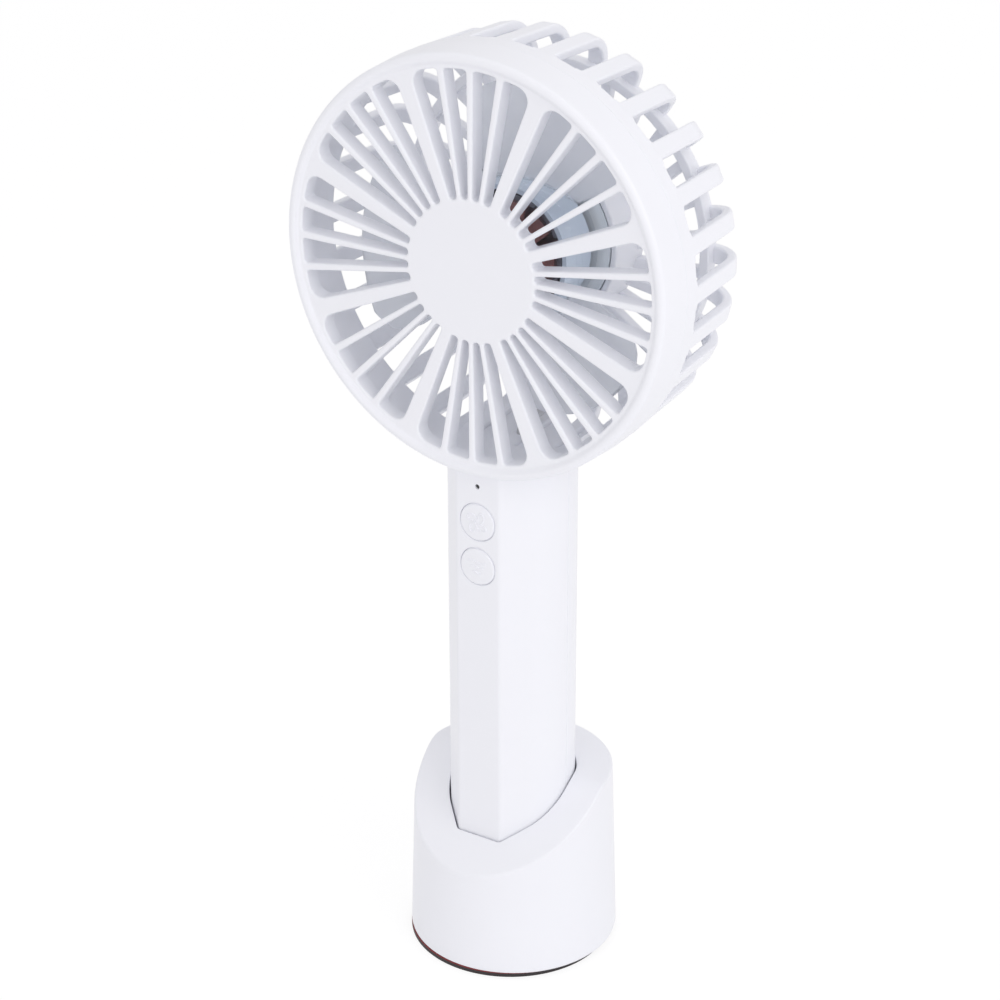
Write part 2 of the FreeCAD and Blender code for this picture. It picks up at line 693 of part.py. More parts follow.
def motor():
    plate_back = -(s.motor_plate_front_behind + s.motor_plate_thickness)
    plate_front = -s.motor_plate_front_behind
    holder_radius = s.bearing_radius + s.holder_wall
    bore = holder_radius + s.fit_gap
    turned("motor_plate", [
        (bore, plate_back),
        (s.motor_plate_radius, plate_back),
        (s.motor_plate_radius, plate_front),
        (bore, plate_front),
    ])
    holder_back = plate_back - s.cup_floor
    turned("bearing_holder", [
        (s.bearing_radius + s.fit_gap, holder_back),
        (holder_radius, holder_back),
        (holder_radius, s.holder_front),
        (s.bearing_radius + s.fit_gap, s.holder_front),
    ])
    rings = []
    for low in (num(s.holder_front - s.bearing_height), num(holder_back)):
        rings.append(tube_ring(s.bearing_radius, s.shaft_radius + s.running_gap, 0, 0, low, s.bearing_height))
    solid_node("motor_bearings", Part.makeCompound(rings), head_place)

    stator_back = num(-s.stator_back_behind)
    stator_height = num(s.stator_front) - stator_back
    yoke_radius = num(holder_radius) + 2.4
    shoe_inner = num(s.stator_radius) - 1.2
    pitch = 360 / num(s.tooth_count)
    core = rod(yoke_radius, 0, 0, stator_back, stator_height)
    shoe_ring = tube_ring(s.stator_radius, shoe_inner, 0, 0, stator_back, stator_height)
    coils = []
    half = num(s.tooth_width) / 2
    build = num(s.coil_build)
    for i in range(int(num(s.tooth_count))):
        turn = Rotation(Vector(0, 0, 1), i * pitch)
        tooth = box(0, shoe_inner + 0.3, -half, half, stator_back, num(s.stator_front))
        slot = box(shoe_inner - 1, num(s.stator_radius) + 1, -0.5, 0.5, stator_back - 1, num(s.stator_front) + 1)
        slot.Placement = Placement(Vector(), Rotation(Vector(0, 0, 1), (i + 0.5) * pitch))
        shoe_ring = shoe_ring.cut(slot)
        tooth.Placement = Placement(Vector(), turn)
        core = core.fuse(tooth)
        gap = 0.05
        near = yoke_radius + 0.15
        outside = box(near, shoe_inner - 0.1, -half - gap - build, half + gap + build,
                      stator_back - gap - build, num(s.stator_front) + gap + build)
        inside = box(near - 1, shoe_inner + 1, -half - gap, half + gap, stator_back - gap,
                     num(s.stator_front) + gap)
        bobbin = tube_ring(shoe_inner - 0.1, near, 0, 0, stator_back - 3, stator_height + 6)
        coil = outside.cut(inside).common(bobbin)
        coil.Placement = Placement(Vector(), turn)
        coils.append(coil)
    bore_rod = rod(num(holder_radius) + num(s.fit_gap), 0, 0, stator_back - 1, stator_height + 2)
    core = core.fuse(shoe_ring).cut(bore_rod).removeSplitter()
    solid_node("stator_core", core, head_place)
    solid_node("motor_windings", Part.makeCompound(coils), head_place)

    band_inner = s.rotor_band_radius - s.rotor_band_wall
    band_front = s.impeller_hub_front - s.impeller_hub_wall - s.fit_gap
    turned("rotor_band", [
        (band_inner, -s.rotor_band_back_behind),
        (s.rotor_band_radius, -s.rotor_band_back_behind),
        (s.rotor_band_radius, band_front),
        (band_inner, band_front),
    ])
    magnet_outer = band_inner - s.fit_gap
    magnet_back = 0.6 - s.rotor_band_back_behind
    turned("rotor_magnet", [
        (magnet_outer - s.magnet_thickness, magnet_back),
        (magnet_outer, magnet_back),
        (magnet_outer, magnet_back + s.magnet_height),
        (magnet_outer - s.magnet_thickness, magnet_back + s.magnet_height),
    ])
    shaft_back = holder_back - 1.0
    shaft = doc.addObject("Part::Cylinder", "motor_shaft")
    shaft.Placement = Placement(Vector(0, 0, 0), Rotation(Vector(1, 0, 0), 90))
    bind(shaft, "Radius", s.shaft_radius)
    bind(shaft, "Height", s.impeller_boss_front - 0.6 - shaft_back)
    bind(shaft, "Placement.Base.y", -shaft_back)
    bind(shaft, "Placement.Base.z", s.head_height)
    keep(shaft, "motor_shaft")
    clip_front = holder_back - 0.2
    turned("shaft_clip", [
        (s.shaft_radius + s.fit_gap, clip_front - 0.5),
        (s.shaft_radius * 2.2, clip_front - 0.5),
        (s.shaft_radius * 2.2, clip_front),
        (s.shaft_radius + s.fit_gap, clip_front),
    ])

    screws = []
    head_top = plate_back - s.cup_floor
    for i in range(3):
        turn = Rotation(Vector(0, 0, 1), i * 120)
        shank = rod(s.motor_screw_radius, s.motor_screw_circle, 0, head_top, s.cup_floor)
        head = rod(s.motor_screw_radius * 1.8, s.motor_screw_circle, 0,
                   head_top - s.motor_screw_radius, s.motor_screw_radius)
        screw = shank.fuse(head).removeSplitter()
        screw.Placement = Placement(Vector(), turn)
        screws.append(screw)
    solid_node("motor_screws", Part.makeCompound(screws), head_place)

    turned("motor_board", [
        (holder_radius + 1.1, -(motor_board_front + s.board_thickness)),
        (s.motor_board_radius, -(motor_board_front + s.board_thickness)),
        (s.motor_board_radius, -motor_board_front),
        (holder_radius + 1.1, -motor_board_front),
    ])
    cap_radius = s.motor_plate_radius + s.cup_gap - 0.1
    seat = s.cap_thickness - s.back_face_behind
    turned("rear_cap", [
        (0, seat),
        (cap_radius, seat),
        (cap_radius, -s.back_face_behind),
        (0, -(s.back_face_behind + 0.6)),
    ])


# Impeller: a cup that grips the rotor band, with twisted blades lofted through curved sections
def blade_section(radius, lead_angle, trail_angle, back, front, thickness):
    steps = 6
    upper = []
    lower = []
    for i in range(steps + 1):
        share = i / steps
        angle = math.radians(lead_angle + (trail_angle - lead_angle) * share)
        rise = share + 0.16 * math.sin(math.pi * share) * (1 - share)
        height = back + (front - back) * rise
        half = thickness / 2 * (0.45 + 0.55 * math.sin(math.pi * min(max(share, 0.08), 0.92)) ** 0.5)
        x = radius * math.cos(angle)
        y = radius * math.sin(angle)
        upper.append(Vector(x, y, height + half))
        lower.append(Vector(x, y, height - half))
    top = Part.BSplineCurve()
    top.interpolate(upper)
    bottom = Part.BSplineCurve()
    bottom.interpolate(lower[::-1])
    return Part.Wire([
        top.toShape(),
        Part.makeLine(upper[-1], lower[-1]),
        bottom.toShape(),
        Part.makeLine(lower[0], upper[0]),
    ])


# A solid lofted through sections that lie on cylinders, closed by ruled faces at both ends
def closed_loft(sections):
    faces = Part.makeLoft(sections, False, False).Faces
    for section in (sections[0], sections[-1]):
        faces.append(Part.makeRuledSurface(section.Edges[0], section.Edges[2]))
    shell = Part.makeShell(faces)
    shell.sewShape()
    solid = Part.makeSolid(shell)
    if solid.Volume < 0:
        solid.reverse()
    return solid


def impeller():
    hub_radius = num(s.rotor_band_radius + s.fit_gap + s.impeller_hub_wall)
    wall = num(s.impeller_hub_wall)
    tip = num(s.blade_tip_radius)
    lead = num(s.blade_lead_angle)
    trail = lead + num(s.blade_sweep_angle)
    front = num(s.blade_front)
    back = -num(s.blade_back_behind)
    thick = num(s.blade_thickness)
    root = hub_radius - 0.7
    span = tip - root
    # share of the span, lead angle, trail angle, drop of the front edge, extra reach of the rear edge
    stations = [
        (0.0, lead + 9, trail + 8, 2.2, 2.4),
        (0.25, lead + 6, trail + 8, 1.0, 1.6),
        (0.55, lead + 2, trail + 7, 0.3, 0.8),
        (0.80, lead, trail + 3, 0, 0.2),
        (0.93, lead + 1.5, trail - 1, 0, 0),
        (1.0, lead + 6, trail - 7, 0, 0),
    ]
    sections = []
    for share, lead_angle, trail_angle, drop, reach in stations:
        sections.append(blade_section(root + span * share, lead_angle, trail_angle,
                                      back - reach, front - drop, thick))
    blade = closed_loft(sections)
    hub_back = num(-s.impeller_hub_back_behind)
    hub_front = num(s.impeller_hub_front)
    shaft_hole = num(s.shaft_radius + s.fit_gap)
    boss_radius = num(s.impeller_boss_radius)
    boss_front = num(s.impeller_boss_front)
    bead = num(s.impeller_bead)
    inner = hub_radius - wall
    profile = [(shaft_hole, hub_front - wall - 0.8), (boss_radius - 1.0, hub_front - wall - 0.8),
               (boss_radius, hub_front - wall), (inner, hub_front - wall), (inner, hub_back),
               (hub_radius, hub_back)]
    for middle in (-1.0, 1.5):
        profile += [(hub_radius, middle - bead * 2), (hub_radius + bead, middle - bead),
                    (hub_radius + bead, middle + bead), (hub_radius, middle + bead * 2)]
    profile += [(hub_radius, hub_front - 0.6), (hub_radius - 0.6, hub_front), (boss_radius + 0.8, hub_front),
                (boss_radius, hub_front + 0.8), (boss_radius - 0.4, boss_front), (shaft_hole, boss_front)]
    points = [Vector(x, 0, y) for x, y in profile]
    hub = Part.Face(Part.makePolygon(points + [points[0]])).revolve(Vector(), Vector(0, 0, 1), 360)
    cavity = rod(inner, 0, 0, hub_back - 1, hub_front - wall - hub_back + 1)
    pieces = []
    count = int(num(s.blade_count))
    for i in range(count):
        copy = blade.cut(cavity)
        copy.rotate(Vector(), Vector(0, 0, 1), i * 360 / count)
        pieces.append(copy)
    solid_node("impeller", hub.multiFuse(pieces), head_place)


# The handle's section: a circle with a narrow flat facet in front, joined by tangent flanks.
# It is drawn for the outside, for the inside and for the base's socket with one offset.
def keel_section(offset):
    radius = num(s.handle_radius) + offset
    centre = num(s.handle_centre_behind)
    front = -num(s.handle_front) - offset
    outer_half = num(s.handle_facet_half_width)
    corner = Vector(outer_half, -num(s.handle_front) - centre, 0)
    reach = corner.Length
    corner_angle = math.atan2(corner.y, corner.x)
    touch_angle = corner_angle + math.acos(num(s.handle_radius) / reach)
    flank_turn = touch_angle + math.pi / 2
    half = outer_half + offset * math.tan(flank_turn / 2)
    touch = Vector(radius * math.cos(touch_angle), radius * math.sin(touch_angle) + centre, 0)
    right = Vector(half, front, 0)
    left = Vector(-half, front, 0)
    touch_left = Vector(-touch.x, touch.y, 0)
    edges = [
        Part.makeLine(touch_left, left),
        Part.makeLine(left, right),
        Part.makeLine(right, touch),
        Part.Arc(touch, Vector(0, radius + centre, 0), touch_left).toShape(),
    ]
    return Part.Face(Part.Wire(edges))


def keel_prism(offset, bottom, top):
    face = keel_section(offset)
    face.translate(Vector(0, 0, num(bottom)))
    prism = face.extrude(Vector(0, 0, num(top) - num(bottom)))
    round_over = num(s.handle_facet_round)
    corners = [e for e in prism.Edges if abs(e.tangentAt(e.FirstParameter).z) > 0.99
               and abs(e.CenterOfMass.y + num(s.handle_front) + offset) < 1e-3]
    return prism.makeFillet(round_over, corners)


def handle_shells():
    wall = num(s.handle_wall)
    bottom = num(s.handle_bottom)
    head_z = num(s.head_height)
    top = head_z - num(s.seam_radius) + 12
    split = num(s.handle_centre_behind)
    gap = num(s.shell_seam_gap) / 2
    wide = 2 * num(s.handle_radius)
    full = keel_prism(0, bottom, top).cut(keel_prism(-wall, bottom + num(s.handle_floor), top + 1))

    # cradles round the battery
    cell_y = num(s.battery_centre_behind)
    cell_bottom = num(s.battery_bottom)
    cell_top = cell_bottom + num(s.battery_length)
    thick = num(s.cradle_thickness)
    heights = [cell_bottom + 10, (cell_bottom + cell_top) / 2 - thick / 2, cell_top - 10 - thick]
    seat = rod(num(s.battery_radius) + num(s.battery_gap), 0, cell_y, bottom, top - bottom)
    channel = box(-num(s.wire_offset) - 2, num(s.wire_offset) + 2, -num(s.handle_front), cell_y,
                  bottom, top)
    for z in heights:
        full = full.fuse(keel_prism(-wall + 0.2, z, z + thick).cut(seat).cut(channel))
    end_gap = num(s.tab_thickness)
    inner_notch = rod(num(s.tab_radius) + 0.3, 0, cell_y, bottom, top - bottom)
    for z in (cell_bottom - end_gap - thick, cell_top + end_gap):
        full = full.fuse(keel_prism(-wall + 0.2, z, z + thick).cut(inner_notch).cut(channel))

    # ledge that carries the charge board
    board_z = num(s.charge_board_height)
    ledge_bottom = board_z - thick
    ledge_box = box(-wide, wide, split + 1, wide, ledge_bottom, board_z)
    hollow = box(-num(s.charge_board_width) / 2 + 1.5, num(s.charge_board_width) / 2 - 1.5,
                 -wide, charge_board_back() - 3, ledge_bottom - 1, board_z + 1)
    full = full.fuse(keel_prism(-wall + 0.2, ledge_bottom, board_z).common(ledge_box).cut(hollow))

    # bosses that join the shells under the battery
    boss_z = num(s.lower_boss_height)
    boss_radius = num(s.screw_radius) + num(s.boss_wall)
    inside_front = -num(s.handle_front) + wall
    inside_back = num(s.handle_radius) + split - wall
    boss = rod(boss_radius, 0, inside_front - 0.5, boss_z, inside_back - inside_front + 1, (0, 1, 0))
    full = full.fuse(boss)

    # posts under the control board
    board_back = -num(s.control_board_forward)
    for z in (num(s.control_board_bottom) + 3, num(s.control_board_top) - 3):
        for side in (-1, 1):
            post = rod(0.9, side * 6.2, inside_front - 0.3, z, board_back - inside_front + 0.3, (0, 1, 0))
            full = full.fuse(post)

    # head clearance, openings for the controls, the charge port and the screws
    cover = rod(num(s.seam_radius) + num(s.saddle_gap), 0, -wide, head_z, 2 * wide, (0, 1, 0))
    full = full.cut(cover)
    for z in (s.power_button_height, s.mode_button_height):
        full = full.cut(rod(s.button_radius + s.button_gap, 0, -wide, z, wide + inside_front + 0.01, (0, 1, 0)))
    full = full.cut(rod(s.led_radius, 0, -wide, s.led_height, wide + inside_front + 1, (0, 1, 0)))
    port_gap = num(s.charge_port_gap)
    port_half = num(s.charge_socket_width) / 2 + port_gap
    port_low = board_z + num(s.board_thickness) - port_gap
    port_high = port_low + num(s.charge_socket_height) + 2 * port_gap
    full = full.cut(box(-port_half, port_half, inside_back - 3, inside_back + 5, port_low, port_high))
    for x, z, back in screw_places():
        reach = inside_back + wall
        seat_y = back
        full = full.cut(rod(num(s.screw_radius) + num(s.thread_gap), x, seat_y - num(s.screw_length), z,
                            30, (0, 1, 0)))
        full = full.cut(rod(num(s.screw_head_radius) + 0.15, x, seat_y, z, reach - seat_y + 5, (0, 1, 0)))
    front_half = box(-wide, wide, -wide, split - gap, 0, head_z)
    rear_half = box(-wide, wide, split + gap, wide, 0, head_z)
    front = full.common(front_half).removeSplitter()
    rear = full.common(rear_half).removeSplitter()
    solid_node("handle_front_shell", front)
    solid_node("handle_rear_shell", rear)


# Where the three handle screws sit: x, z and the y of the face under the head
def screw_places():
    inside_back = num(s.handle_radius + s.handle_centre_behind) - num(s.handle_wall)
    neck_z = num(s.head_height) - num(s.seam_radius - s.seam_gap) - num(s.neck_length) / 2
    pitch = num(s.neck_screw_half_pitch)
    neck_seat = math.sqrt(num(s.handle_radius) ** 2 - pitch ** 2) + num(s.handle_centre_behind) - 2.2
    lower_seat = inside_back - 1.0
    return [(-pitch, neck_z, neck_seat), (pitch, neck_z, neck_seat),
            (0, num(s.lower_boss_height), lower_seat)]


def handle_screws():
    screws = []
    for x, z, seat in screw_places():
        shank = rod(s.screw_radius, x, seat - num(s.screw_length) + 1, z, num(s.screw_length) - 1, (0, 1, 0))
        head = rod(s.screw_head_radius, x, seat, z, s.screw_head_height, (0, 1, 0))
        screws.append(shank.fuse(head).removeSplitter())
    solid_node("handle_screws", Part.makeCompound(screws))


# Controls on the front facet
def controls():
    wall_inside = -s.handle_front + s.handle_wall
    board_front = -s.control_board_forward
    press = s.button_travel
    for label, height in (("power", s.power_button_height), ("mode", s.mode_button_height)):
        cap = rod(s.button_radius, 0, -(s.handle_front + s.button_proud), height,
                  s.button_proud + s.handle_wall + 0.3, (0, 1, 0))
        flange = rod(s.button_radius + s.button_flange, 0, wall_inside + 0.1, height,
                     s.button_flange_thickness, (0, 1, 0))
        flange = flange.common(keel_prism(-num(s.handle_wall) - 0.15, height - 10, height + 10))
        solid_node(f"{label}_button", cap.fuse(flange).removeSplitter())
        flange_back = wall_inside + 0.1 + s.button_flange_thickness
        body_front = board_front - s.switch_height
        plunger_end = body_front + s.switch_height - 1.1 - press
        solid_node(f"{label}_plunger", rod(s.plunger_radius, 0, flange_back, height,
                                           plunger_end - flange_back, (0, 1, 0)))
    half = num(s.switch_size) / 2
    housings = []
    for height in (s.power_button_height, s.mode_button_height):
        z = num(height)
        housing = box(-half, half, board_front - s.switch_height, board_front, z - half, z + half)
        well = rod(s.plunger_radius + 0.08, 0, board_front - s.switch_height - 1, height,
                   s.switch_height, (0, 1, 0))
        housings.append(housing.cut(well))
    solid_node("switch_housings", Part.makeCompound(housings))

    board_half = num(s.control_board_width) / 2
    board = box(-board_half, board_half, board_front, board_front + s.board_thickness,
                s.control_board_bottom, s.control_board_top)
    solid_node("control_board", board)
    lens_front = -(s.handle_front - s.led_recess)
    lens = rod(s.led_radius - 0.05, 0, lens_front, s.led_height, board_front - 0.8 - lens_front, (0, 1, 0))
    solid_node("led_light_pipe", lens)
    chip = box(-0.8, 0.8, board_front - 0.8, board_front, s.led_height - 0.6, s.led_height + 0.6)
    solid_node("led_chip", chip)


def charge_board_back():
    inside_back = num(s.handle_radius + s.handle_centre_behind) - num(s.handle_wall)
    return inside_back - 0.6


# Battery, its tabs and wires, and the charge board with its socket
def power_pieces():
    cell_y = s.battery_centre_behind
    bottom = s.battery_bottom
    top = s.battery_bottom + s.battery_length
    cell = doc.addObject("Part::Cylinder", "battery_cell")
    bind(cell, "Radius", s.battery_radius)
    bind(cell, "Height", s.battery_length)
    bind(cell, "Placement.Base.y", cell_y)
    bind(cell, "Placement.Base.z", bottom)
    keep(cell, "battery_cell")
    tabs = [
        rod(s.tab_radius, 0, cell_y, bottom - s.tab_thickness, s.tab_thickness),
        rod(s.tab_radius, 0, cell_y, top, s.tab_thickness),
    ]
    solid_node("battery_tabs", Part.makeCompound(tabs))

    wire_y = -s.control_board_forward + s.board_thickness / 2
    board_bottom = s.control_board_bottom
    side = s.wire_offset
    low = bottom - s.tab_thickness - s.wire_radius
    high = top + s.tab_thickness + s.wire_radius
    wires = [
        bent_tube([(side, cell_y, low), (side, wire_y, low), (side, wire_y, board_bottom)], 2.0, s.wire_radius),
        bent_tube([(-side, cell_y, high), (-side, wire_y, high), (-side, wire_y, board_bottom)], 2.0,
                  s.wire_radius),
    ]
    solid_node("battery_wires", Part.makeCompound(wires))

    board_z = s.charge_board_height
    back = charge_board_back()
    half = num(s.charge_board_width) / 2
    plate = box(-half, half, back - num(s.charge_board_length), back, board_z, board_z + s.board_thickness)
    room = keel_prism(-num(s.handle_wall) - 0.15, board_z - 1, board_z + s.board_thickness + 1)
    solid_node("charge_board", plate.common(room))
    socket_half = num(s.charge_socket_width) / 2
    socket_low = board_z + s.board_thickness
    socket_back = back + 1.4
    shell = box(-socket_half, socket_half, socket_back - num(s.charge_socket_length), socket_back,
                socket_low, socket_low + s.charge_socket_height)
    mouth = box(-socket_half + 0.35, socket_half - 0.35, socket_back - num(s.charge_socket_length) + 0.5,
                socket_back + 1, socket_low + 0.35, socket_low + s.charge_socket_height - 0.35)
    tongue = box(-1.8, 1.8, socket_back - num(s.charge_socket_length) + 0.3, socket_back - 1.0,
                 socket_low + 1.0, socket_low + 1.6)
    solid_node("charge_socket", shell.cut(mouth).fuse(tongue).removeSplitter())

    # leads from the charge board up the neck, along the cage's floor and up the duct to the motor
    head_z = s.head_height
    rib_inner = s.seam_radius - s.seam_gap - s.cage_taper - s.cage_rib_thickness
    run_z = head_z - rib_inner + motor_lead_radius + 0.3
    lead = bent_tube([
        (0, lead_behind, board_z + s.board_thickness),
        (0, lead_behind, run_z),
        (0, motor_lead_behind, run_z),
        (0, motor_lead_behind, head_z - s.motor_board_radius - 0.1),
    ], 2.6, motor_lead_radius)
    solid_node("motor_leads", lead)


# Desk base: a tapered cup whose top is slanted in front and level behind
def base_cut_wire(level, slant_height, blend):
    slope = math.tan(math.radians(num(s.base_slant_angle)))
    turn_y = (level - slant_height) / slope
    reach = 2 * num(s.base_bottom_radius)
    top = level + reach
    return rounded_wire([
        (-reach, slant_height - slope * reach, 0),
        (turn_y, level, blend),
        (reach, level, 0),
        (reach, top, 0),
        (-reach, top, 0),
    ])


def above_base(drop):
    slant = num(s.base_slant_height) - drop / math.cos(math.radians(num(s.base_slant_angle)))
    wire = base_cut_wire(num(s.base_level_height) - drop, slant, num(s.base_blend_radius) - drop)
    face = Part.Face(wire)
    half = 2 * num(s.base_bottom_radius)
    face.Placement = Placement(Vector(-half, 0, 0), Rotation(Vector(1, 1, 1), 120))
    return face.extrude(Vector(2 * half, 0, 0))


def base_cone(inset, bottom, top):
    start = num(s.base_bottom_radius) - inset - num(s.base_taper_per_mm) * (num(bottom) - num(s.foot_thickness))
    end = start - num(s.base_taper_per_mm) * (num(top) - num(bottom))
    return Part.makeCone(start, end, num(top) - num(bottom), Vector(0, 0, num(bottom)))


def base_pieces():
    foot_top = num(s.foot_thickness)
    tall = num(s.base_level_height) + 5
    wall = num(s.base_wall)
    floor_top = foot_top + num(s.base_floor_thickness)
    outer = base_cone(0, foot_top, tall).cut(above_base(0))
    rim = [e for e in outer.Edges if e.CenterOfMass.z > foot_top + 5 and not isinstance(e.Curve, Part.Line)
           and e.BoundBox.XLength > 10 and e.BoundBox.YLength > 1]
    outer = outer.makeFillet(num(s.base_edge_fillet), rim)
    hollow = base_cone(wall, foot_top - 0.01, tall).cut(above_base(wall))
    well_gap = num(s.socket_gap)
    well_bottom = num(s.handle_bottom)
    well_outside = keel_prism(well_gap + num(s.socket_wall), well_bottom - num(s.socket_wall), tall)
    well_outside = well_outside.cut(above_base(wall / 2))
    shell = outer.cut(hollow).fuse(well_outside)
    places = [(num(s.base_screw_circle) * math.cos(math.radians(a)),
               num(s.base_screw_circle) * math.sin(math.radians(a))) for a in (90, 210, 330)]
    for x, y in places:
        boss = rod(s.base_boss_radius, x, y, floor_top, tall).common(base_cone(wall / 2, foot_top, tall))
        shell = shell.fuse(boss.cut(above_base(wall / 2)))
    shell = shell.cut(keel_prism(well_gap, well_bottom, tall))
    pilot_length = num(s.screw_length) - num(s.base_floor_thickness) + 1.5
    for x, y in places:
        shell = shell.cut(rod(s.screw_radius + s.thread_gap, x, y, floor_top - 0.5, pilot_length))
    solid_node("base_shell", shell.removeSplitter())

    plate_radius = num(s.base_bottom_radius) - wall - 0.25
    plate = rod(plate_radius, 0, 0, foot_top, s.base_floor_thickness)
    screws = []
    head_height = 1.0
    for x, y in places:
        plate = plate.cut(rod(s.screw_radius + 0.15, x, y, 0, 10))
        plate = plate.cut(rod(s.screw_head_radius + 0.15, x, y, 0, foot_top + head_height))
        shank = rod(s.screw_radius, x, y, foot_top + head_height, num(s.screw_length) - 2)
        head = rod(s.screw_head_radius, x, y, foot_top, head_height)
        screws.append(shank.fuse(head).removeSplitter())
    solid_node("base_floor", plate)
    solid_node("base_screws", Part.makeCompound(screws))
    solid_node("base_weight", rod(s.weight_radius, 0, 0, floor_top, s.weight_thickness))

    foot = doc.addObject("Part::Cylinder", "rubber_foot")
    bind(foot, "Radius", s.foot_radius)
    bind(foot, "Height", s.foot_thickness)
    bind(foot, "Placement.Base.x", -s.foot_shift)
    bind(foot, "Placement.Base.y", -s.foot_shift)
    keep(foot, "rubber_foot")


head_place = Placement(Vector(0, 0, num(s.head_height)), Rotation(Vector(1, 0, 0), 90))

front_grille()
rear_cage()
motor()
impeller()
handle_shells()
handle_screws()
controls()
power_pieces()
base_pieces()
doc.recompute()

for thing in doc.Objects:
    if "Invalid" in thing.State or "Error" in thing.State:
        raise RuntimeError(f"{thing.Name} failed: {thing.State}")

os.makedirs("parts", exist_ok=True)
for node in nodes:
    shape = node.Shape
    if shape.isNull() or not shape.isValid():
        raise RuntimeError(f"{node.Label} has no valid shape")
    shape.exportStep(f"parts/{node.Label}.step")
    bounds = shape.BoundBox
    print(f"{node.Label}: {len(shape.Solids)} solids, {shape.Volume:.1f} mm3, "
          f"x {bounds.XMin:.1f} to {bounds.XMax:.1f}, y {bounds.YMin:.1f} to {bounds.YMax:.1f}, "
          f"z {bounds.ZMin:.1f} to {bounds.ZMax:.1f}")
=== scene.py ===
import json
import math

import bmesh
import bpy
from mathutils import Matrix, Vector, geometry


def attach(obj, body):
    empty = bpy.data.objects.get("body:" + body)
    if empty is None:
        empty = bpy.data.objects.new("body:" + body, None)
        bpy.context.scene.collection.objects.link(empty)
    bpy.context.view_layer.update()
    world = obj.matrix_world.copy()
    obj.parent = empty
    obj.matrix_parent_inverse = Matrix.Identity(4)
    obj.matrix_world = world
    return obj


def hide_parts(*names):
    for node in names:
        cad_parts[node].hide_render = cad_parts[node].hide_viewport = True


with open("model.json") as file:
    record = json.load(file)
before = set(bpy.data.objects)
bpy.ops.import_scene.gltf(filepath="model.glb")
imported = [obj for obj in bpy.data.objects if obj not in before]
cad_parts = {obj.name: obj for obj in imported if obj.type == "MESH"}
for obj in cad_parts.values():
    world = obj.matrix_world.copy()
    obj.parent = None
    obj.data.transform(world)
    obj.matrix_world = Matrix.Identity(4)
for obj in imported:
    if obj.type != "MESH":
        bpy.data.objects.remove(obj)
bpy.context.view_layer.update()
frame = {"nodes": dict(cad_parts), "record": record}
print("frame loaded:", len(frame["nodes"]), "nodes")

# Everything below is written in millimetres and turned into metres where a mesh is made.
mm = 0.001
headHeight = 183.2  # the head's own axis runs along Y at this height
weldGap = 0.001  # points closer than this become one
sharpAngle = 34  # an edge that turns by more degrees stays sharp


# small tools

def headPoint(x, up, forward):
    return Vector((x, -forward, headHeight + up)) * mm


def standPoint(x, y, z):
    return Vector((x, y, z)) * mm


def linkObject(name, data):
    made = bpy.data.objects.new(name, data)
    bpy.context.scene.collection.objects.link(made)
    return made


# runs a few steps on a mesh; each step takes the open bmesh
def editMesh(mesh, *steps):
    shape = bmesh.new()
    shape.from_mesh(mesh)
    for step in steps:
        step(shape)
    shape.to_mesh(mesh)
    shape.free()


def faceOutwards(shape):
    bmesh.ops.recalc_face_normals(shape, faces=shape.faces)


def weldPoints(shape):
    bmesh.ops.remove_doubles(shape, verts=shape.verts, dist=weldGap * mm)


def smoothFaces(shape):
    bmesh.ops.remove_doubles(shape, verts=shape.verts, dist=2 * weldGap * mm)
    bmesh.ops.dissolve_degenerate(shape, edges=shape.edges, dist=weldGap * mm)
    for face in shape.faces:
        face.smooth = True


def makePiece(name, points, faces):
    mesh = bpy.data.meshes.new(name)
    mesh.from_pydata([tuple(p) for p in points], [], faces)
    mesh.validate()
    piece = linkObject(name, mesh)
    editMesh(mesh, faceOutwards)
    return piece


# the mesh that a piece or a curve has once its modifiers have run
def finalMesh(piece):
    graph = bpy.context.evaluated_depsgraph_get()
    return bpy.data.meshes.new_from_object(piece.evaluated_get(graph))


# operation is UNION or DIFFERENCE; the other pieces are used up
def combine(piece, others, operation):
    for other in others:
        step = piece.modifiers.new("combine", "BOOLEAN")
        step.operation = operation
        step.solver = "MANIFOLD"
        step.object = other
    mesh = finalMesh(piece)
    piece.modifiers.clear()
    piece.data = mesh
    mesh.name = piece.name
    for other in others:
        bpy.data.objects.remove(other)
    return piece


def joinShells(name, pieces):
    shape = bmesh.new()
    for piece in pieces:
        shape.from_mesh(piece.data)
        bpy.data.objects.remove(piece)
    mesh = bpy.data.meshes.new(name)
    shape.to_mesh(mesh)
    shape.free()
    return linkObject(name, mesh)


# gives a piece its finish, hangs it on its body and hides the imported nodes that it stands in for
def dress(piece, slot, body, *nodes):
    editMesh(piece.data, smoothFaces)
    piece.data.set_sharp_from_angle(angle=math.radians(sharpAngle))
    normals = piece.modifiers.new("faceWeight", "WEIGHTED_NORMAL")
    normals.keep_sharp = True
    normals.weight = 80
    piece.data.materials.clear()
    piece.data.materials.append(finishes[slot])
    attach(piece, body)
    if nodes:
        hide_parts(*nodes)


# quarter-round points between two square directions, from (1, 0) towards (0, 1)
def quarterRound(steps):
    return [(math.cos(math.pi / 2 * i / steps), math.sin(math.pi / 2 * i / steps)) for i in range(steps + 1)]


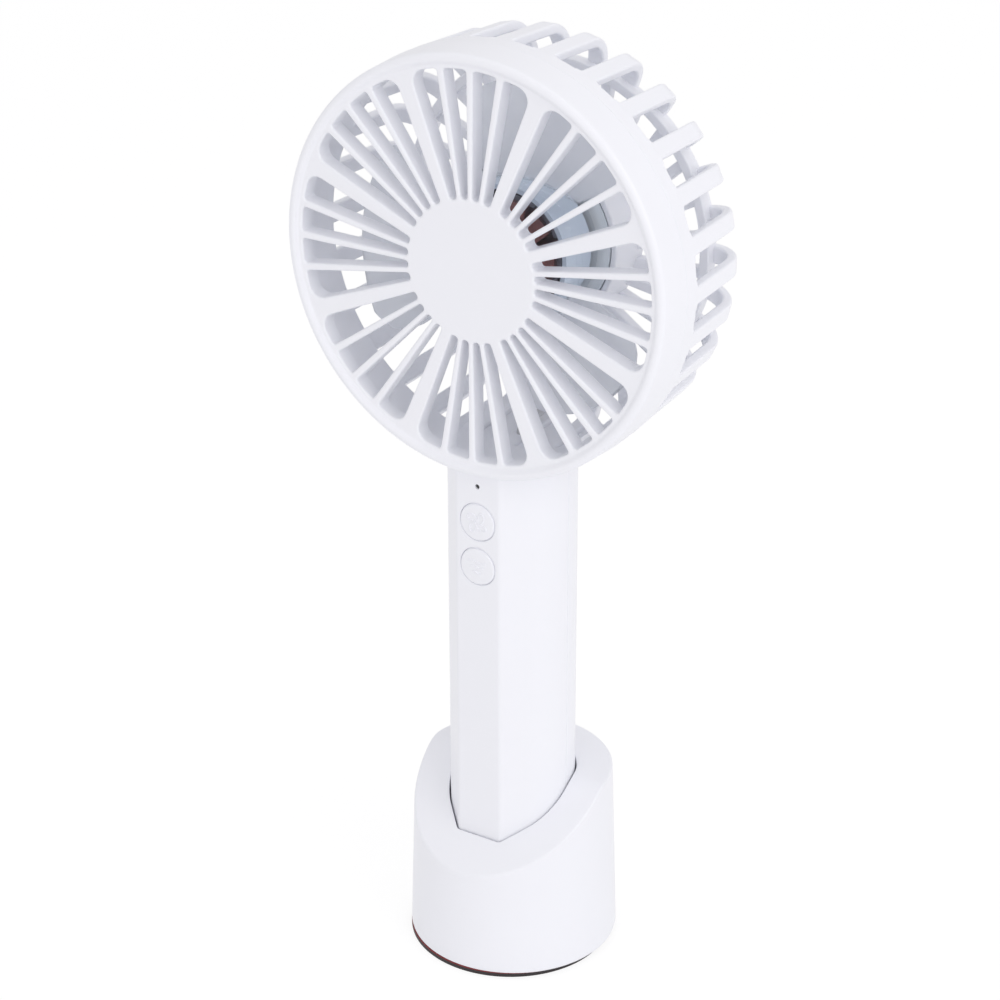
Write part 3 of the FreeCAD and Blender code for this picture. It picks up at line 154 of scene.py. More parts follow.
# rounds the corners of a path given as (a, b, radius); the ends of an open path stay as they are
def roundedPath(corners, steps=5, closed=False):
    points = []
    count = len(corners)
    for i, (x, y, radius) in enumerate(corners):
        corner = Vector((x, y))
        if radius <= 0 or (not closed and i in (0, count - 1)):
            points.append((x, y))
            continue
        back = (Vector(corners[i - 1][:2]) - corner).normalized()
        ahead = (Vector(corners[(i + 1) % count][:2]) - corner).normalized()
        half = back.angle(ahead) / 2
        reach = radius / math.tan(half)
        centre = corner + (back + ahead).normalized() * (radius / math.sin(half))
        start = corner + back * reach - centre
        end = corner + ahead * reach - centre
        sweep = start.angle_signed(end)
        for k in range(steps + 1):
            turn = -sweep * k / steps
            points.append((centre.x + start.x * math.cos(turn) - start.y * math.sin(turn),
                           centre.y + start.x * math.sin(turn) + start.y * math.cos(turn)))
    return points


# (a, b) corners of a rounded rectangle centred on zero
def roundedBlock(halfWide, halfTall, radius, steps=3):
    corners = [(halfWide, -halfTall, radius), (halfWide, halfTall, radius),
               (-halfWide, halfTall, radius), (-halfWide, -halfTall, radius)]
    return roundedPath(corners, steps, closed=True)


# faces between neighbouring rows of count points
# around joins the last row to the first, and closed joins the two ends of each row
def rowFaces(rows, count, around=True, closed=True):
    faces = []
    for k in range(rows if around else rows - 1):
        after = (k + 1) % rows
        for i in range(count if closed else count - 1):
            j = (i + 1) % count
            faces.append([k * count + i, after * count + i, after * count + j, k * count + j])
    return faces


# turns a closed profile of (radius, along) pairs; place makes the point from two cross distances and along
def turnProfile(name, profile, segments, place):
    points = []
    count = len(profile)
    for k in range(segments):
        angle = 2 * math.pi * k / segments
        points += [place(r * math.cos(angle), r * math.sin(angle), along) for r, along in profile]
    onAxis = [i for i, (r, along) in enumerate(profile) if r < 1e-6]
    faces = [face for face in rowFaces(segments, count)
             if not (face[0] % count in onAxis and face[-1] % count in onAxis)]
    piece = makePiece(name, points, faces)
    if onAxis:
        editMesh(piece.data, weldPoints, faceOutwards)
    return piece


def turnOnHead(name, profile, segments, up=0.0):
    return turnProfile(name, profile, segments, lambda a, b, forward: headPoint(a, up + b, forward))


# a tube through rings of equally many points, with flat ends
def loftRings(name, rings):
    count = len(rings[0])
    faces = rowFaces(len(rings), count, around=False)
    faces += [list(range(count)), [(len(rings) - 1) * count + i for i in range(count)]]
    return makePiece(name, [p for ring in rings for p in ring], faces)


# a skin of equally long strips set round the middle, with a flat face across each end of the strips
def skinStrips(name, strips):
    count = len(strips[0])
    faces = rowFaces(len(strips), count, closed=False)
    faces += [[k * count + end for k in range(len(strips))] for end in (0, count - 1)]
    return makePiece(name, [p for strip in strips for p in strip], faces)


# finishes

def newMaterial(name, **settings):
    material = bpy.data.materials.new(name)
    material.use_nodes = True
    tree = material.node_tree
    shader = tree.nodes["Principled BSDF"]
    for key, value in settings.items():
        shader.inputs[key].default_value = value
    return material, tree, shader


def addNode(tree, kind, **settings):
    node = tree.nodes.new(kind)
    for key, value in settings.items():
        if key in node.inputs:
            node.inputs[key].default_value = value
        else:
            setattr(node, key, value)
    return node


# links a socket to the target, or sets a plain number on it
def join(source, target):
    if isinstance(source, float):
        target.default_value = source
    else:
        target.id_data.links.new(source, target)


# each function from here to mixShaders adds a node and returns the socket that the next node takes
def objectPlace(tree):
    return addNode(tree, "ShaderNodeTexCoord").outputs["Object"]


def noise(place, scale, **settings):
    node = addNode(place.id_data, "ShaderNodeTexNoise", Scale=scale, **settings)
    join(place, node.inputs["Vector"])
    return node.outputs["Fac"]


# draws the values between low and high out to another range
def spread(source, low, high, toLow=0.0, toHigh=1.0):
    ends = {"From Min": low, "From Max": high, "To Min": toLow, "To Max": toHigh}
    node = addNode(source.id_data, "ShaderNodeMapRange", **ends)
    join(source, node.inputs["Value"])
    return node.outputs["Result"]


def mixColours(share, low, high):
    node = addNode(share.id_data, "ShaderNodeMix", data_type="RGBA")
    node.inputs["A"].default_value = (*low, 1)
    node.inputs["B"].default_value = (*high, 1)
    join(share, node.inputs["Factor"])
    return node.outputs["Result"]


def calculate(operation, first, second):
    node = addNode(first.id_data, "ShaderNodeMath", operation=operation)
    join(first, node.inputs[0])
    join(second, node.inputs[1])
    return node.outputs["Value"]


def bump(source, strength, height):
    node = addNode(source.id_data, "ShaderNodeBump", Strength=strength, Distance=height * mm)
    join(source, node.inputs["Height"])
    return node.outputs["Normal"]


# distance from the head's axis, in metres
def axisDistance(place):
    value = place
    for operation, setting in (("SUBTRACT", (0, 0, headHeight * mm)), ("MULTIPLY", (1, 0, 1))):
        node = addNode(place.id_data, "ShaderNodeVectorMath", operation=operation)
        node.inputs[1].default_value = setting
        join(value, node.inputs[0])
        value = node.outputs["Vector"]
    node = addNode(place.id_data, "ShaderNodeVectorMath", operation="LENGTH")
    join(value, node.inputs[0])
    return node.outputs["Value"]


def mixShaders(share, first, second):
    node = addNode(first.id_data, "ShaderNodeMixShader")
    for value, target in zip((share, first, second), node.inputs):
        join(value, target)
    return node.outputs["Shader"]


def scaled(colour, factor):
    return [min(1, c * factor) for c in colour]


calm = {"scale": 60.0, "colour": 0.05, "rough": 0.05, "rub": 0.05}
# grain gives the scale, strength and height of the fine bumps
grained = {
    "white_plastic": {
        "name": "whiteShell", "colour": (0.930, 0.940, 0.985), "roughness": 0.36, "ior": 1.47,
        "grain": (2600.0, 0.16, 0.02), "sway": {"scale": 38.0, "colour": 0.012, "rough": 0.035, "rub": 0.06}},
    "steel": {
        "name": "platedSteel", "colour": (0.62, 0.62, 0.64), "roughness": 0.3, "metallic": 1.0,
        "grain": (1400.0, 0.15, 0.02)},
    "core_steel": {
        "name": "coreSteel", "colour": (0.30, 0.29, 0.33), "roughness": 0.42, "metallic": 0.6,
        "grain": (1100.0, 0.3, 0.04)},
    "magnet": {
        "name": "sinteredMagnet", "colour": (0.035, 0.037, 0.042), "roughness": 0.5, "metallic": 0.4,
        "grain": (2400.0, 0.4, 0.04)},
    "grey_plastic": {
        "name": "greyShell", "colour": (0.30, 0.30, 0.32), "roughness": 0.5, "grain": (2200.0, 0.25, 0.03)},
    "dark_plastic": {
        "name": "blackMoulding", "colour": (0.02, 0.02, 0.022), "roughness": 0.4,
        "grain": (2200.0, 0.25, 0.03)},
    "circuit_board": {
        "name": "boardMask", "colour": (0.02, 0.13, 0.05), "roughness": 0.34, "coat": 0.4,
        "grain": (500.0, 0.25, 0.05)},
    "led": {
        "name": "lampResin", "colour": (0.75, 0.73, 0.5), "roughness": 0.2, "grain": (900.0, 0.1, 0.02)},
    "battery_wrap": {
        "name": "cellSleeve", "colour": (0.05, 0.2, 0.42), "roughness": 0.28, "coat": 0.3,
        "grain": (300.0, 0.2, 0.05)},
    "wire_cover": {
        "name": "wireCover", "colour": (0.62, 0.62, 0.64), "roughness": 0.42, "grain": (1500.0, 0.2, 0.03)},
    "clear_plastic": {
        "name": "lampPipe", "colour": (0.012, 0.012, 0.014), "roughness": 0.12, "coat": 0.6,
        "grain": (900.0, 0.05, 0.01)},
}


# a broad noise sways colour and roughness, raised edges are rubbed smoother, and a fine grain lifts it all
def grainedFinish(look):
    material, tree, shader = newMaterial(look["name"], **{
        "Metallic": look.get("metallic", 0.0), "IOR": look.get("ior", 1.46),
        "Coat Weight": look.get("coat", 0.0)})
    sway = look.get("sway", calm)
    place = objectPlace(tree)
    broad = noise(place, sway["scale"], Detail=3.0, Roughness=0.55)
    colour = mixColours(broad, scaled(look["colour"], 1 - sway["colour"]),
                        scaled(look["colour"], 1 + sway["colour"]))
    join(colour, shader.inputs["Base Color"])
    rough = spread(broad, 0.3, 0.7, look["roughness"] - sway["rough"], look["roughness"] + sway["rough"])
    edges = addNode(tree, "ShaderNodeNewGeometry").outputs["Pointiness"]
    rub = spread(edges, 0.5, 0.62, 0.0, sway["rub"])
    join(calculate("SUBTRACT", rough, rub), shader.inputs["Roughness"])
    scale, strength, height = look["grain"]
    join(bump(noise(place, scale, Detail=2.0), strength, height), shader.inputs["Normal"])
    return material


# clear at the hub, where the motor shows through, and milky out on the blades
def smokeBlade():
    look = {"clearColour": (0.98, 0.99, 1.0), "roughness": 0.07, "ior": 1.25, "pane": 0.05,
            "milkColour": (0.95, 0.965, 1.0), "milkRoughness": 0.34, "milkIor": 1.4, "through": 0.45,
            "clearTo": 17.6, "milkFrom": 19.0, "hubMilk": 0.04, "bladeMilk": 0.76,
            "cloud": 24.0, "cloudShade": 0.96, "grain": (900.0, 0.05, 0.02)}
    material, tree, clear = newMaterial("smokeBlade", **{
        "Base Color": (*look["clearColour"], 1), "Transmission Weight": 1.0, "IOR": look["ior"],
        "Roughness": look["roughness"]})
    window = addNode(tree, "ShaderNodeBsdfTransparent", Color=(*look["clearColour"], 1))
    pane = mixShaders(look["pane"], window.outputs["BSDF"], clear.outputs["BSDF"])
    place = objectPlace(tree)
    cloud = noise(place, look["cloud"], Detail=4.0, Roughness=0.6)
    tint = mixColours(cloud, scaled(look["milkColour"], look["cloudShade"]), look["milkColour"])
    milk = addNode(tree, "ShaderNodeBsdfPrincipled", Roughness=look["milkRoughness"], IOR=look["milkIor"])
    join(tint, milk.inputs["Base Color"])
    through = addNode(tree, "ShaderNodeBsdfTranslucent")
    join(tint, through.inputs["Color"])
    body = mixShaders(look["through"], milk.outputs["BSDF"], through.outputs["BSDF"])
    share = spread(axisDistance(place), look["clearTo"] * mm, look["milkFrom"] * mm, look["hubMilk"],
                   look["bladeMilk"])
    join(mixShaders(share, pane, body), tree.nodes["Material Output"].inputs["Surface"])
    scale, strength, height = look["grain"]
    lift = bump(noise(place, scale, Detail=2.0), strength, height)
    for shader in (clear, milk):
        join(lift, shader.inputs["Normal"])
    return material


# metal turned on a lathe: fine rings about the head's axis
def turnedMetal(name, colour, roughness, rings, bumpStrength, metallic=1.0):
    look = {"dark": 0.86, "light": 1.1, "sway": 0.07, "depth": 0.03}
    material, tree, shader = newMaterial(name, Metallic=metallic)
    groove = addNode(tree, "ShaderNodeTexNoise", noise_dimensions="1D", Scale=1.0, Detail=4.0, Roughness=0.7)
    join(calculate("MULTIPLY", axisDistance(objectPlace(tree)), rings), groove.inputs["W"])
    depth = groove.outputs["Fac"]
    tint = mixColours(depth, scaled(colour, look["dark"]), scaled(colour, look["light"]))
    join(tint, shader.inputs["Base Color"])
    rough = spread(depth, 0.0, 1.0, roughness - look["sway"], roughness + look["sway"])
    join(rough, shader.inputs["Roughness"])
    join(bump(depth, bumpStrength, look["depth"]), shader.inputs["Normal"])
    return material


# enamelled copper: turns of wire show as ridges, with painted shade darkening the valleys between them
def copperWire():
    look = {"colour": (0.50, 0.22, 0.19), "dark": (0.22, 0.11, 0.12), "turns": 2400.0, "roughness": 0.3,
            "metallic": 0.8, "enamel": 0.3, "ridges": (0.5, 0.1)}
    material, tree, shader = newMaterial("copperWire", **{
        "Metallic": look["metallic"], "Coat Weight": look["enamel"], "Roughness": look["roughness"]})
    turns = addNode(tree, "ShaderNodeTexWave", Scale=look["turns"], Distortion=1.5, Detail=1.0,
                    bands_direction="Y")
    join(objectPlace(tree), turns.inputs["Vector"])
    ridge = turns.outputs["Fac"]
    # the dark colour in the low parts of the wave is painted shade between the turns
    join(mixColours(ridge, look["dark"], look["colour"]), shader.inputs["Base Color"])
    join(bump(ridge, *look["ridges"]), shader.inputs["Normal"])
    return material


# dark pad with a painted wine-red colour fringe along its upper edge, standing in for the lens's colour
# fringe, not a film on the rubber
def footRubber():
    look = {"rubber": (0.028, 0.022, 0.024), "lensFringe": (0.20, 0.018, 0.02), "fringeHeight": 1.02,
            "fringeFade": 0.06, "roughness": 0.62, "sway": 0.1, "grain": (1800.0, 0.4, 0.05)}
    material, tree, shader = newMaterial("footRubber")
    place = objectPlace(tree)
    split = addNode(tree, "ShaderNodeSeparateXYZ")
    join(place, split.inputs["Vector"])
    # above this height the colour turns to the painted wine-red lens fringe
    edge = spread(split.outputs["Z"], look["fringeHeight"] * mm, (look["fringeHeight"] + look["fringeFade"]) * mm)
    join(mixColours(edge, look["rubber"], look["lensFringe"]), shader.inputs["Base Color"])
    scale, strength, height = look["grain"]
    fine = noise(place, scale, Detail=3.0)
    rough = spread(fine, 0.0, 1.0, look["roughness"] - look["sway"], look["roughness"] + look["sway"])
    join(rough, shader.inputs["Roughness"])
    join(bump(fine, strength, height), shader.inputs["Normal"])
    return material


finishes = {slotName: grainedFinish(look) for slotName, look in grained.items()}
finishes["smoke_plastic"] = smokeBlade()
finishes["rubber"] = footRubber()
finishes["copper_wire"] = copperWire()
finishes["brass"] = turnedMetal("turnedBrass", (0.72, 0.52, 0.22), 0.3, 9000.0, 0.2)
ownFinish = {
    "motor_plate": turnedMetal("turnedPlate", (0.87, 0.92, 1.0), 0.34, 5200.0, 0.35, metallic=0.1),
    "rotor_band": turnedMetal("rotorBandMetal", (0.78, 0.85, 0.98), 0.34, 4200.0, 0.2, metallic=0.2),
}
print("finishes made:", len(finishes) + len(ownFinish))

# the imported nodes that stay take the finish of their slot, or their own
slotOf = {part["node"]: part["material_slot"] for part in frame["record"]["subparts"]}
for nodeName, node in frame["nodes"].items():
    for slot in node.material_slots:
        slot.material = ownFinish.get(nodeName, finishes[slotOf[nodeName]])


# front cover: dished plate with slots and a rolled rim

frontCover = {
    "sectors": 8, "thinStep": 9.7, "slotInner": 16.9, "slotOuter": 46.4,
    "wideSpoke": (2.8, 4.4), "thinRib": (1.2, 1.8),  # widths at the slots' inner and outer ends
    "bigCorner": 3.0, "smallCorner": 0.8, "arcClear": 1.35, "arcSteps": 4,
    "discForward": 18.8, "faceForward": 18.5, "backForward": 14.3, "frontRound": 0.52, "backRound": 0.2,
    "segments": 256, "plateRadius": 47.0, "backRadius": 48.0,
    # radius, forward and rounding: over the crest, down the wall to the seam, and back up inside
    "rim": [(47.3, 18.5, 0.8), (48.25, 19.4, 1.1), (50.04, 19.4, 1.4),
            (50.5, 9.62, 0.22), (48.4, 9.62, 0.15), (48.4, 14.3, 0.35)],
}


# points on a circle between two of its own points, clear of the corners' roundings
def arcBetween(start, end, radius, startRound, endRound):
    first = math.atan2(start[1], start[0])
    last = math.atan2(end[1], end[0])
    turn = 1 if last > first else -1
    first += turn * startRound * frontCover["arcClear"] / radius
    last -= turn * endRound * frontCover["arcClear"] / radius
    steps = frontCover["arcSteps"]
    angles = [first + (last - first) * k / steps for k in range(steps + 1)]
    return [(radius * math.cos(angle), radius * math.sin(angle), 0) for angle in angles]


# corners of the slot between two ribs, each given by its angle, its two widths and the outer corner beside it
def slotOutline(lowAngle, lowWidths, highAngle, highWidths, lowCorner, highCorner):
    cover = frontCover
    near, far, small = cover["slotInner"], cover["slotOuter"], cover["smallCorner"]

    def edgePoint(angle, width, radius, side):
        turn = math.radians(angle)
        along = math.sqrt(radius ** 2 - (width / 2) ** 2)
        return (along * math.cos(turn) - side * width / 2 * math.sin(turn),
                along * math.sin(turn) + side * width / 2 * math.cos(turn))

    lowFar = edgePoint(lowAngle, lowWidths[1], far, 1)
    highFar = edgePoint(highAngle, highWidths[1], far, -1)
    return [edgePoint(lowAngle, lowWidths[0], near, 1) + (small,), lowFar + (lowCorner,),
            *arcBetween(lowFar, highFar, far, lowCorner, highCorner),
            highFar + (highCorner,), edgePoint(highAngle, highWidths[0], near, -1) + (small,)]


# the outlines of all slots: four in each sector
def allSlots():
    cover = frontCover
    step = cover["thinStep"]
    wideTurn = 180 / cover["sectors"]
    thin, wide = cover["thinRib"], cover["wideSpoke"]
    small, big = cover["smallCorner"], cover["bigCorner"]
    slots = [slotOutline(0, thin, step, thin, small, small),
             slotOutline(step, thin, wideTurn, wide, small, big),
             slotOutline(-step, thin, 0, thin, small, small),
             slotOutline(-wideTurn, wide, -step, thin, big, small)]
    outlines = []
    for sector in range(cover["sectors"]):
        turn = 2 * math.pi * sector / cover["sectors"]
        cosine, sine = math.cos(turn), math.sin(turn)
        for corners in slots:
            outlines.append([(x * cosine - y * sine, x * sine + y * cosine)
                             for x, y in roundedPath(corners, 5, closed=True)])
    return outlines


# moves every point of a closed outline away from its middle by the same distance
def grownOutline(points, distance):
    grown = []
    count = len(points)
    for i in range(count):
        before = Vector(points[i]) - Vector(points[i - 1])
        after = Vector(points[(i + 1) % count]) - Vector(points[i])
        one = Vector((before.y, -before.x)).normalized()
        two = Vector((after.y, -after.x)).normalized()
        middle = one + two
        middle = middle / max(middle.length_squared / 2, 0.2)  # the limit keeps very sharp corners in place
        grown.append((points[i][0] + middle.x * distance, points[i][1] + middle.y * distance))
    return grown


def isInside(spot, loop):
    inside = False
    for i, (x, y) in enumerate(loop):
        beforeX, beforeY = loop[i - 1]
        if (y > spot.y) != (beforeY > spot.y):
            if spot.x < x + (beforeX - x) * (spot.y - y) / (beforeY - y):
                inside = not inside
    return inside


# fills the area between an outer loop and its holes; returns triangles of indices into the loops
def fillBetween(loops):
    flat = [Vector(p) for loop in loops for p in loop]
    edges = []
    start = 0
    for loop in loops:
        count = len(loop)
        edges += [(start + i, start + (i + 1) % count) for i in range(count)]
        start += count
    result = geometry.delaunay_2d_cdt(flat, edges, [], 1, 1e-5)
    source = [origin[0] for origin in result[3]]
    kept = []
    for face in result[2]:
        corners = [source[i] for i in face]
        middle = sum((flat[i] for i in corners), Vector((0, 0))) / 3
        if not any(isInside(middle, hole) for hole in loops[1:]):
            kept.append(corners)
    return kept


def makeFrontCover():
    cover = frontCover
    front, back = cover["frontRound"], cover["backRound"]
    points = []
    faces = []

    def faceHeight(x, y):
        share = (math.hypot(x, y) - cover["slotInner"]) / (cover["slotOuter"] - cover["slotInner"])
        return cover["discForward"] + (cover["faceForward"] - cover["discForward"]) * min(1, max(0, share))

    def circleLoop(radius):
        angles = [2 * math.pi * k / cover["segments"] for k in range(cover["segments"])]
        return [(radius * math.cos(angle), radius * math.sin(angle)) for angle in angles]

    def addLoop(loop, height):
        first = len(points)
        for x, y in loop:
            points.append(headPoint(x, y, height(x, y) if callable(height) else height))
        return list(range(first, len(points)))

    def stitch(one, two):
        count = len(one)
        for i in range(count):
            j = (i + 1) % count
            faces.append([one[i], one[j], two[j], two[i]])

    # the front face, then each slot's rounded front edge
    frontLoops = [circleLoop(cover["plateRadius"])]
    outerFront = addLoop(frontLoops[0], faceHeight)
    frontIds = list(outerFront)
    slots = []
    for outline in allSlots():
        frontLoops.append(grownOutline(outline, front))
        previous = addLoop(frontLoops[-1], faceHeight)
        frontIds += previous
        for across, deep in quarterRound(3)[1:]:
            drop = front * (1 - across)
            loop = grownOutline(outline, front * (1 - deep))
            ids = addLoop(loop, lambda x, y, d=drop: faceHeight(x, y) - d)
            stitch(previous, ids)
            previous = ids
        slots.append((outline, previous))

    # each slot's wall and rounded back edge, then the back face
    backLoops = [circleLoop(cover["backRadius"])]
    outerBack = addLoop(backLoops[0], cover["backForward"])
    backIds = list(outerBack)
    for outline, previous in slots:
        for across, deep in quarterRound(3):
            loop = grownOutline(outline, back * (1 - across))
            ids = addLoop(loop, cover["backForward"] + back * (1 - deep))
            stitch(previous, ids)
            previous = ids
        backLoops.append(loop)
        backIds += previous
    faces += [[frontIds[i] for i in face] for face in fillBetween(frontLoops)]
    faces += [[backIds[i] for i in face] for face in fillBetween(backLoops)]

    rim = roundedPath([(cover["plateRadius"], cover["faceForward"], 0), *cover["rim"],
                       (cover["backRadius"], cover["backForward"], 0)], 7)
    previous = outerFront
    for radius, forward in rim[1:-1]:
        ids = addLoop(circleLoop(radius), forward)
        stitch(previous, ids)
        previous = ids
    stitch(previous, outerBack)
    return makePiece("frontCover", points, faces)


dress(makeFrontCover(), "white_plastic", "fan", "front_grille")
print("front cover made")


# rear cage: band, hooked ribs, back ring, swirled spokes and motor cup

rearCage = {
    "bandOuter": 50.38, "bandInner": 46.95, "bandBack": 4.9, "bandFront": 9.5,
    "lipOuter": 48.25, "lipFront": 14.1,
    "ribs": 28, "ribHalfWidth": 2.15, "ribRound": 0.6, "ribRoot": 5.4, "ribSink": 0.05, "ribEnd": 38.8,
    "backOut": -22.3, "thickness": 2.4, "taper": 1.4, "outerBend": 9.4, "innerBend": 6.8, "bendSteps": 12,
    # the rib widens over the flare where it meets the band; the stations are distances behind its root
    "flare": 1.3, "flareFrom": 0.5, "flareStations": (0.0, 0.5, 0.65, 0.85, 1.1, 1.5),
    "ringOuter": 41.0, "ringInner": 38.6, "ringBack": -22.28, "ringFront": -17.4,
    "ringStep": 0.25, "stepHeights": (-21.1, -20.95, -20.15, -20.0),
    "spokeHalfWidth": 1.3, "spokeSwirl": 9.0, "spokeEnd": 39.8, "spokeFront": -18.5, "spokeBack": -21.5,
    "spokeSink": 0.7, "spokeRound": 0.5,
    "cupOuter": 21.5, "cupBore": 20.0, "cupFront": -9.8, "cupBack": -21.5, "cupFlare": 0.6,
    "motorSeat": -10.8, "cupFloor": -12.8, "capSeat": -19.8, "capLedge": 18.7, "shaftHole": 3.45,
    "segments": 240, "cupSegments": 160,
}
saddle = {"halfTurn": 18.5, "outer": 50.44, "inner": 48.44, "back": -15.0, "steps": 24}
# block gives half the width, half the depth and the corner radius
neck = {"block": (9.0, 6.0, 1.0), "y": 3.0, "heights": (114.9, 133.6)}
duct = {"block": (3.0, 1.5, 0.5), "y": 20.0, "heights": (headHeight - 20.9, headHeight - 39.8)}


def makeRib(angle):
    cage = rearCage
    root = cage["ribRoot"]

    # one long side of the rib: back from the band, round the bend and in to the ring
    def sidePath(rootRadius, inset, bend):
        wall, back = cage["bandOuter"] - cage["taper"] - inset, cage["backOut"] + inset
        corners = [(rootRadius, root, 0), (wall, back, bend), (cage["ribEnd"], back, 0)]
        return roundedPath(corners, cage["bendSteps"])

    outerSide = sidePath(cage["bandOuter"] - cage["ribSink"], 0, cage["outerBend"])
    innerSide = sidePath(cage["bandOuter"] - cage["thickness"], cage["thickness"], cage["innerBend"])
    stations = []
    for down in cage["flareStations"]:
        outer, inner = [Vector(side[0]).lerp(Vector(side[1]), down / (root - side[1][1]))
                        for side in (outerSide, innerSide)]
        away = max(0.0, min(1.0, (down - cage["flareFrom"]) / cage["flare"]))
        widen = cage["flare"] * (1 - math.sqrt(max(0.0, 1 - (1 - away) ** 2)))
        stations.append((outer, inner, cage["ribHalfWidth"] + widen))
    for outer, inner in zip(outerSide[1:], innerSide[1:]):
        stations.append((Vector(outer), Vector(inner), cage["ribHalfWidth"]))
    rings = []
    cosine, sine = math.cos(angle), math.sin(angle)
    for outer, inner, half in stations:
        middle = (outer + inner) / 2
        reach = (outer - inner) / 2
        ring = []
        for a, b in roundedBlock(half, reach.length, cage["ribRound"]):
            r = middle.x + reach.normalized().x * b
            forward = middle.y + reach.normalized().y * b
            ring.append(headPoint(r * cosine - a * sine, r * sine + a * cosine, forward))
        rings.append(ring)
    return loftRings("rib", rings)


def makeSpoke(angle):
    cage = rearCage
    swirl = math.radians(cage["spokeSwirl"])
    near = cage["cupOuter"] - cage["spokeSink"]
    start = Vector((near * math.cos(angle - swirl), near * math.sin(angle - swirl)))
    end = Vector((cage["spokeEnd"] * math.cos(angle), cage["spokeEnd"] * math.sin(angle)))
    side = (end - start).normalized().orthogonal()
    middle = (cage["spokeFront"] + cage["spokeBack"]) / 2
    halfTall = (cage["spokeFront"] - cage["spokeBack"]) / 2
    block = roundedBlock(cage["spokeHalfWidth"], halfTall, cage["spokeRound"])
    rings = [[headPoint(spot.x + side.x * a, spot.y + side.y * a, middle + b) for a, b in block]
             for spot in (start, end)]
    return loftRings("spoke", rings)


# the curved pad under the band, on which the neck sits
def makeSaddle():
    corners = ((saddle["outer"], rearCage["ribRoot"]), (saddle["outer"], saddle["back"]),
               (saddle["inner"], saddle["back"]), (saddle["inner"], rearCage["ribRoot"]))
    rings = []
    for k in range(saddle["steps"] + 1):
        angle = math.radians(-90 - saddle["halfTurn"] + 2 * saddle["halfTurn"] * k / saddle["steps"])
        rings.append([headPoint(r * math.cos(angle), r * math.sin(angle), forward) for r, forward in corners])
    return loftRings("saddle", rings)


def makePost(name, post):
    return loftRings(name, [[standPoint(a, post["y"] + b, z) for a, b in roundedBlock(*post["block"])]
                            for z in post["heights"]])


# the profiles are corners of radius, forward and rounding
def makeRearCage():
    cage = rearCage
    bandInner, bandOuter, lipOuter = cage["bandInner"], cage["bandOuter"], cage["lipOuter"]
    band = turnOnHead("rearCage", roundedPath([
        (bandInner, cage["bandBack"], 0.4), (bandOuter, cage["bandBack"], 0.5),
        (bandOuter, cage["bandFront"], 0.2), (lipOuter, cage["bandFront"], 0),
        (lipOuter, cage["lipFront"], 0.3), (bandInner, cage["lipFront"], 0.3)],
        4, closed=True), cage["segments"])
    inner, outer, step, heights = cage["ringInner"], cage["ringOuter"], cage["ringStep"], cage["stepHeights"]
    ring = turnOnHead("ring", roundedPath([
        (inner, cage["ringBack"], 0.4), (outer - 2 * step, cage["ringBack"], 0.3),
        (outer - 2 * step, heights[0], 0.1), (outer - step, heights[1], 0.1), (outer - step, heights[2], 0.1),
        (outer, heights[3], 0.15), (outer, cage["ringFront"], 0.4), (inner, cage["ringFront"], 0.4)],
        4, closed=True), cage["segments"])
    bore, wall = cage["cupBore"], cage["cupOuter"]
    cup = turnOnHead("cup", roundedPath([
        (cage["shaftHole"], cage["motorSeat"], 0), (bore, cage["motorSeat"], 0),
        (bore, cage["cupFront"], 0.25), (wall, cage["cupFront"], 0.5),
        (wall + cage["cupFlare"], cage["cupBack"], 0.4), (bore, cage["cupBack"], 0.2),
        (bore, cage["capSeat"], 0), (cage["capLedge"], cage["capSeat"], 0),
        (cage["capLedge"], cage["cupFloor"], 0), (cage["shaftHole"], cage["cupFloor"], 0)],
        4, closed=True), cage["cupSegments"])
    others = [makeSaddle(), makePost("neck", neck), makePost("duct", duct), cup, ring]
    for k in range(cage["ribs"]):
        angle = 2 * math.pi * k / cage["ribs"]
        others.append(makeSpoke(angle + math.pi / cage["ribs"]))
        others.append(makeRib(angle))
    return combine(band, others, "UNION")


dress(makeRearCage(), "white_plastic", "fan", "rear_cage")
print("rear cage made")

# groove is a radius, and its mouth and floor are half as wide as the groove is there
rearCap = {"radius": 19.85, "seat": -19.85, "back": -21.5, "crown": -22.05, "crownFall": 0.05,
           "crownReach": 6.0, "crownBend": 12.0, "groove": 15.5, "grooveMouth": 0.45, "grooveFloor": 0.2,
           "grooveDepth": 0.2, "outerLip": 0.15, "innerLip": 0.2, "segments": 160}


def makeRearCap():
    cap = rearCap
    groove, back = cap["groove"], cap["back"]
    floor, depth = cap["grooveFloor"], cap["grooveDepth"]
    profile = roundedPath([
        (0, cap["seat"], 0), (cap["radius"], cap["seat"], 0.15), (cap["radius"], back, 0.45),
        (groove + cap["grooveMouth"], back - cap["outerLip"], 0.12), (groove + floor, back + depth, 0.08),
        (groove - floor, back + depth, 0.08), (groove - cap["grooveMouth"], back - cap["innerLip"], 0.12),
        (cap["crownReach"], cap["crown"] + cap["crownFall"], cap["crownBend"]), (0, cap["crown"], 0)], 6)
    return turnOnHead("rearCap", profile, cap["segments"])


dress(makeRearCap(), "white_plastic", "fan", "rear_cap")
print("rear cap made")


# impeller

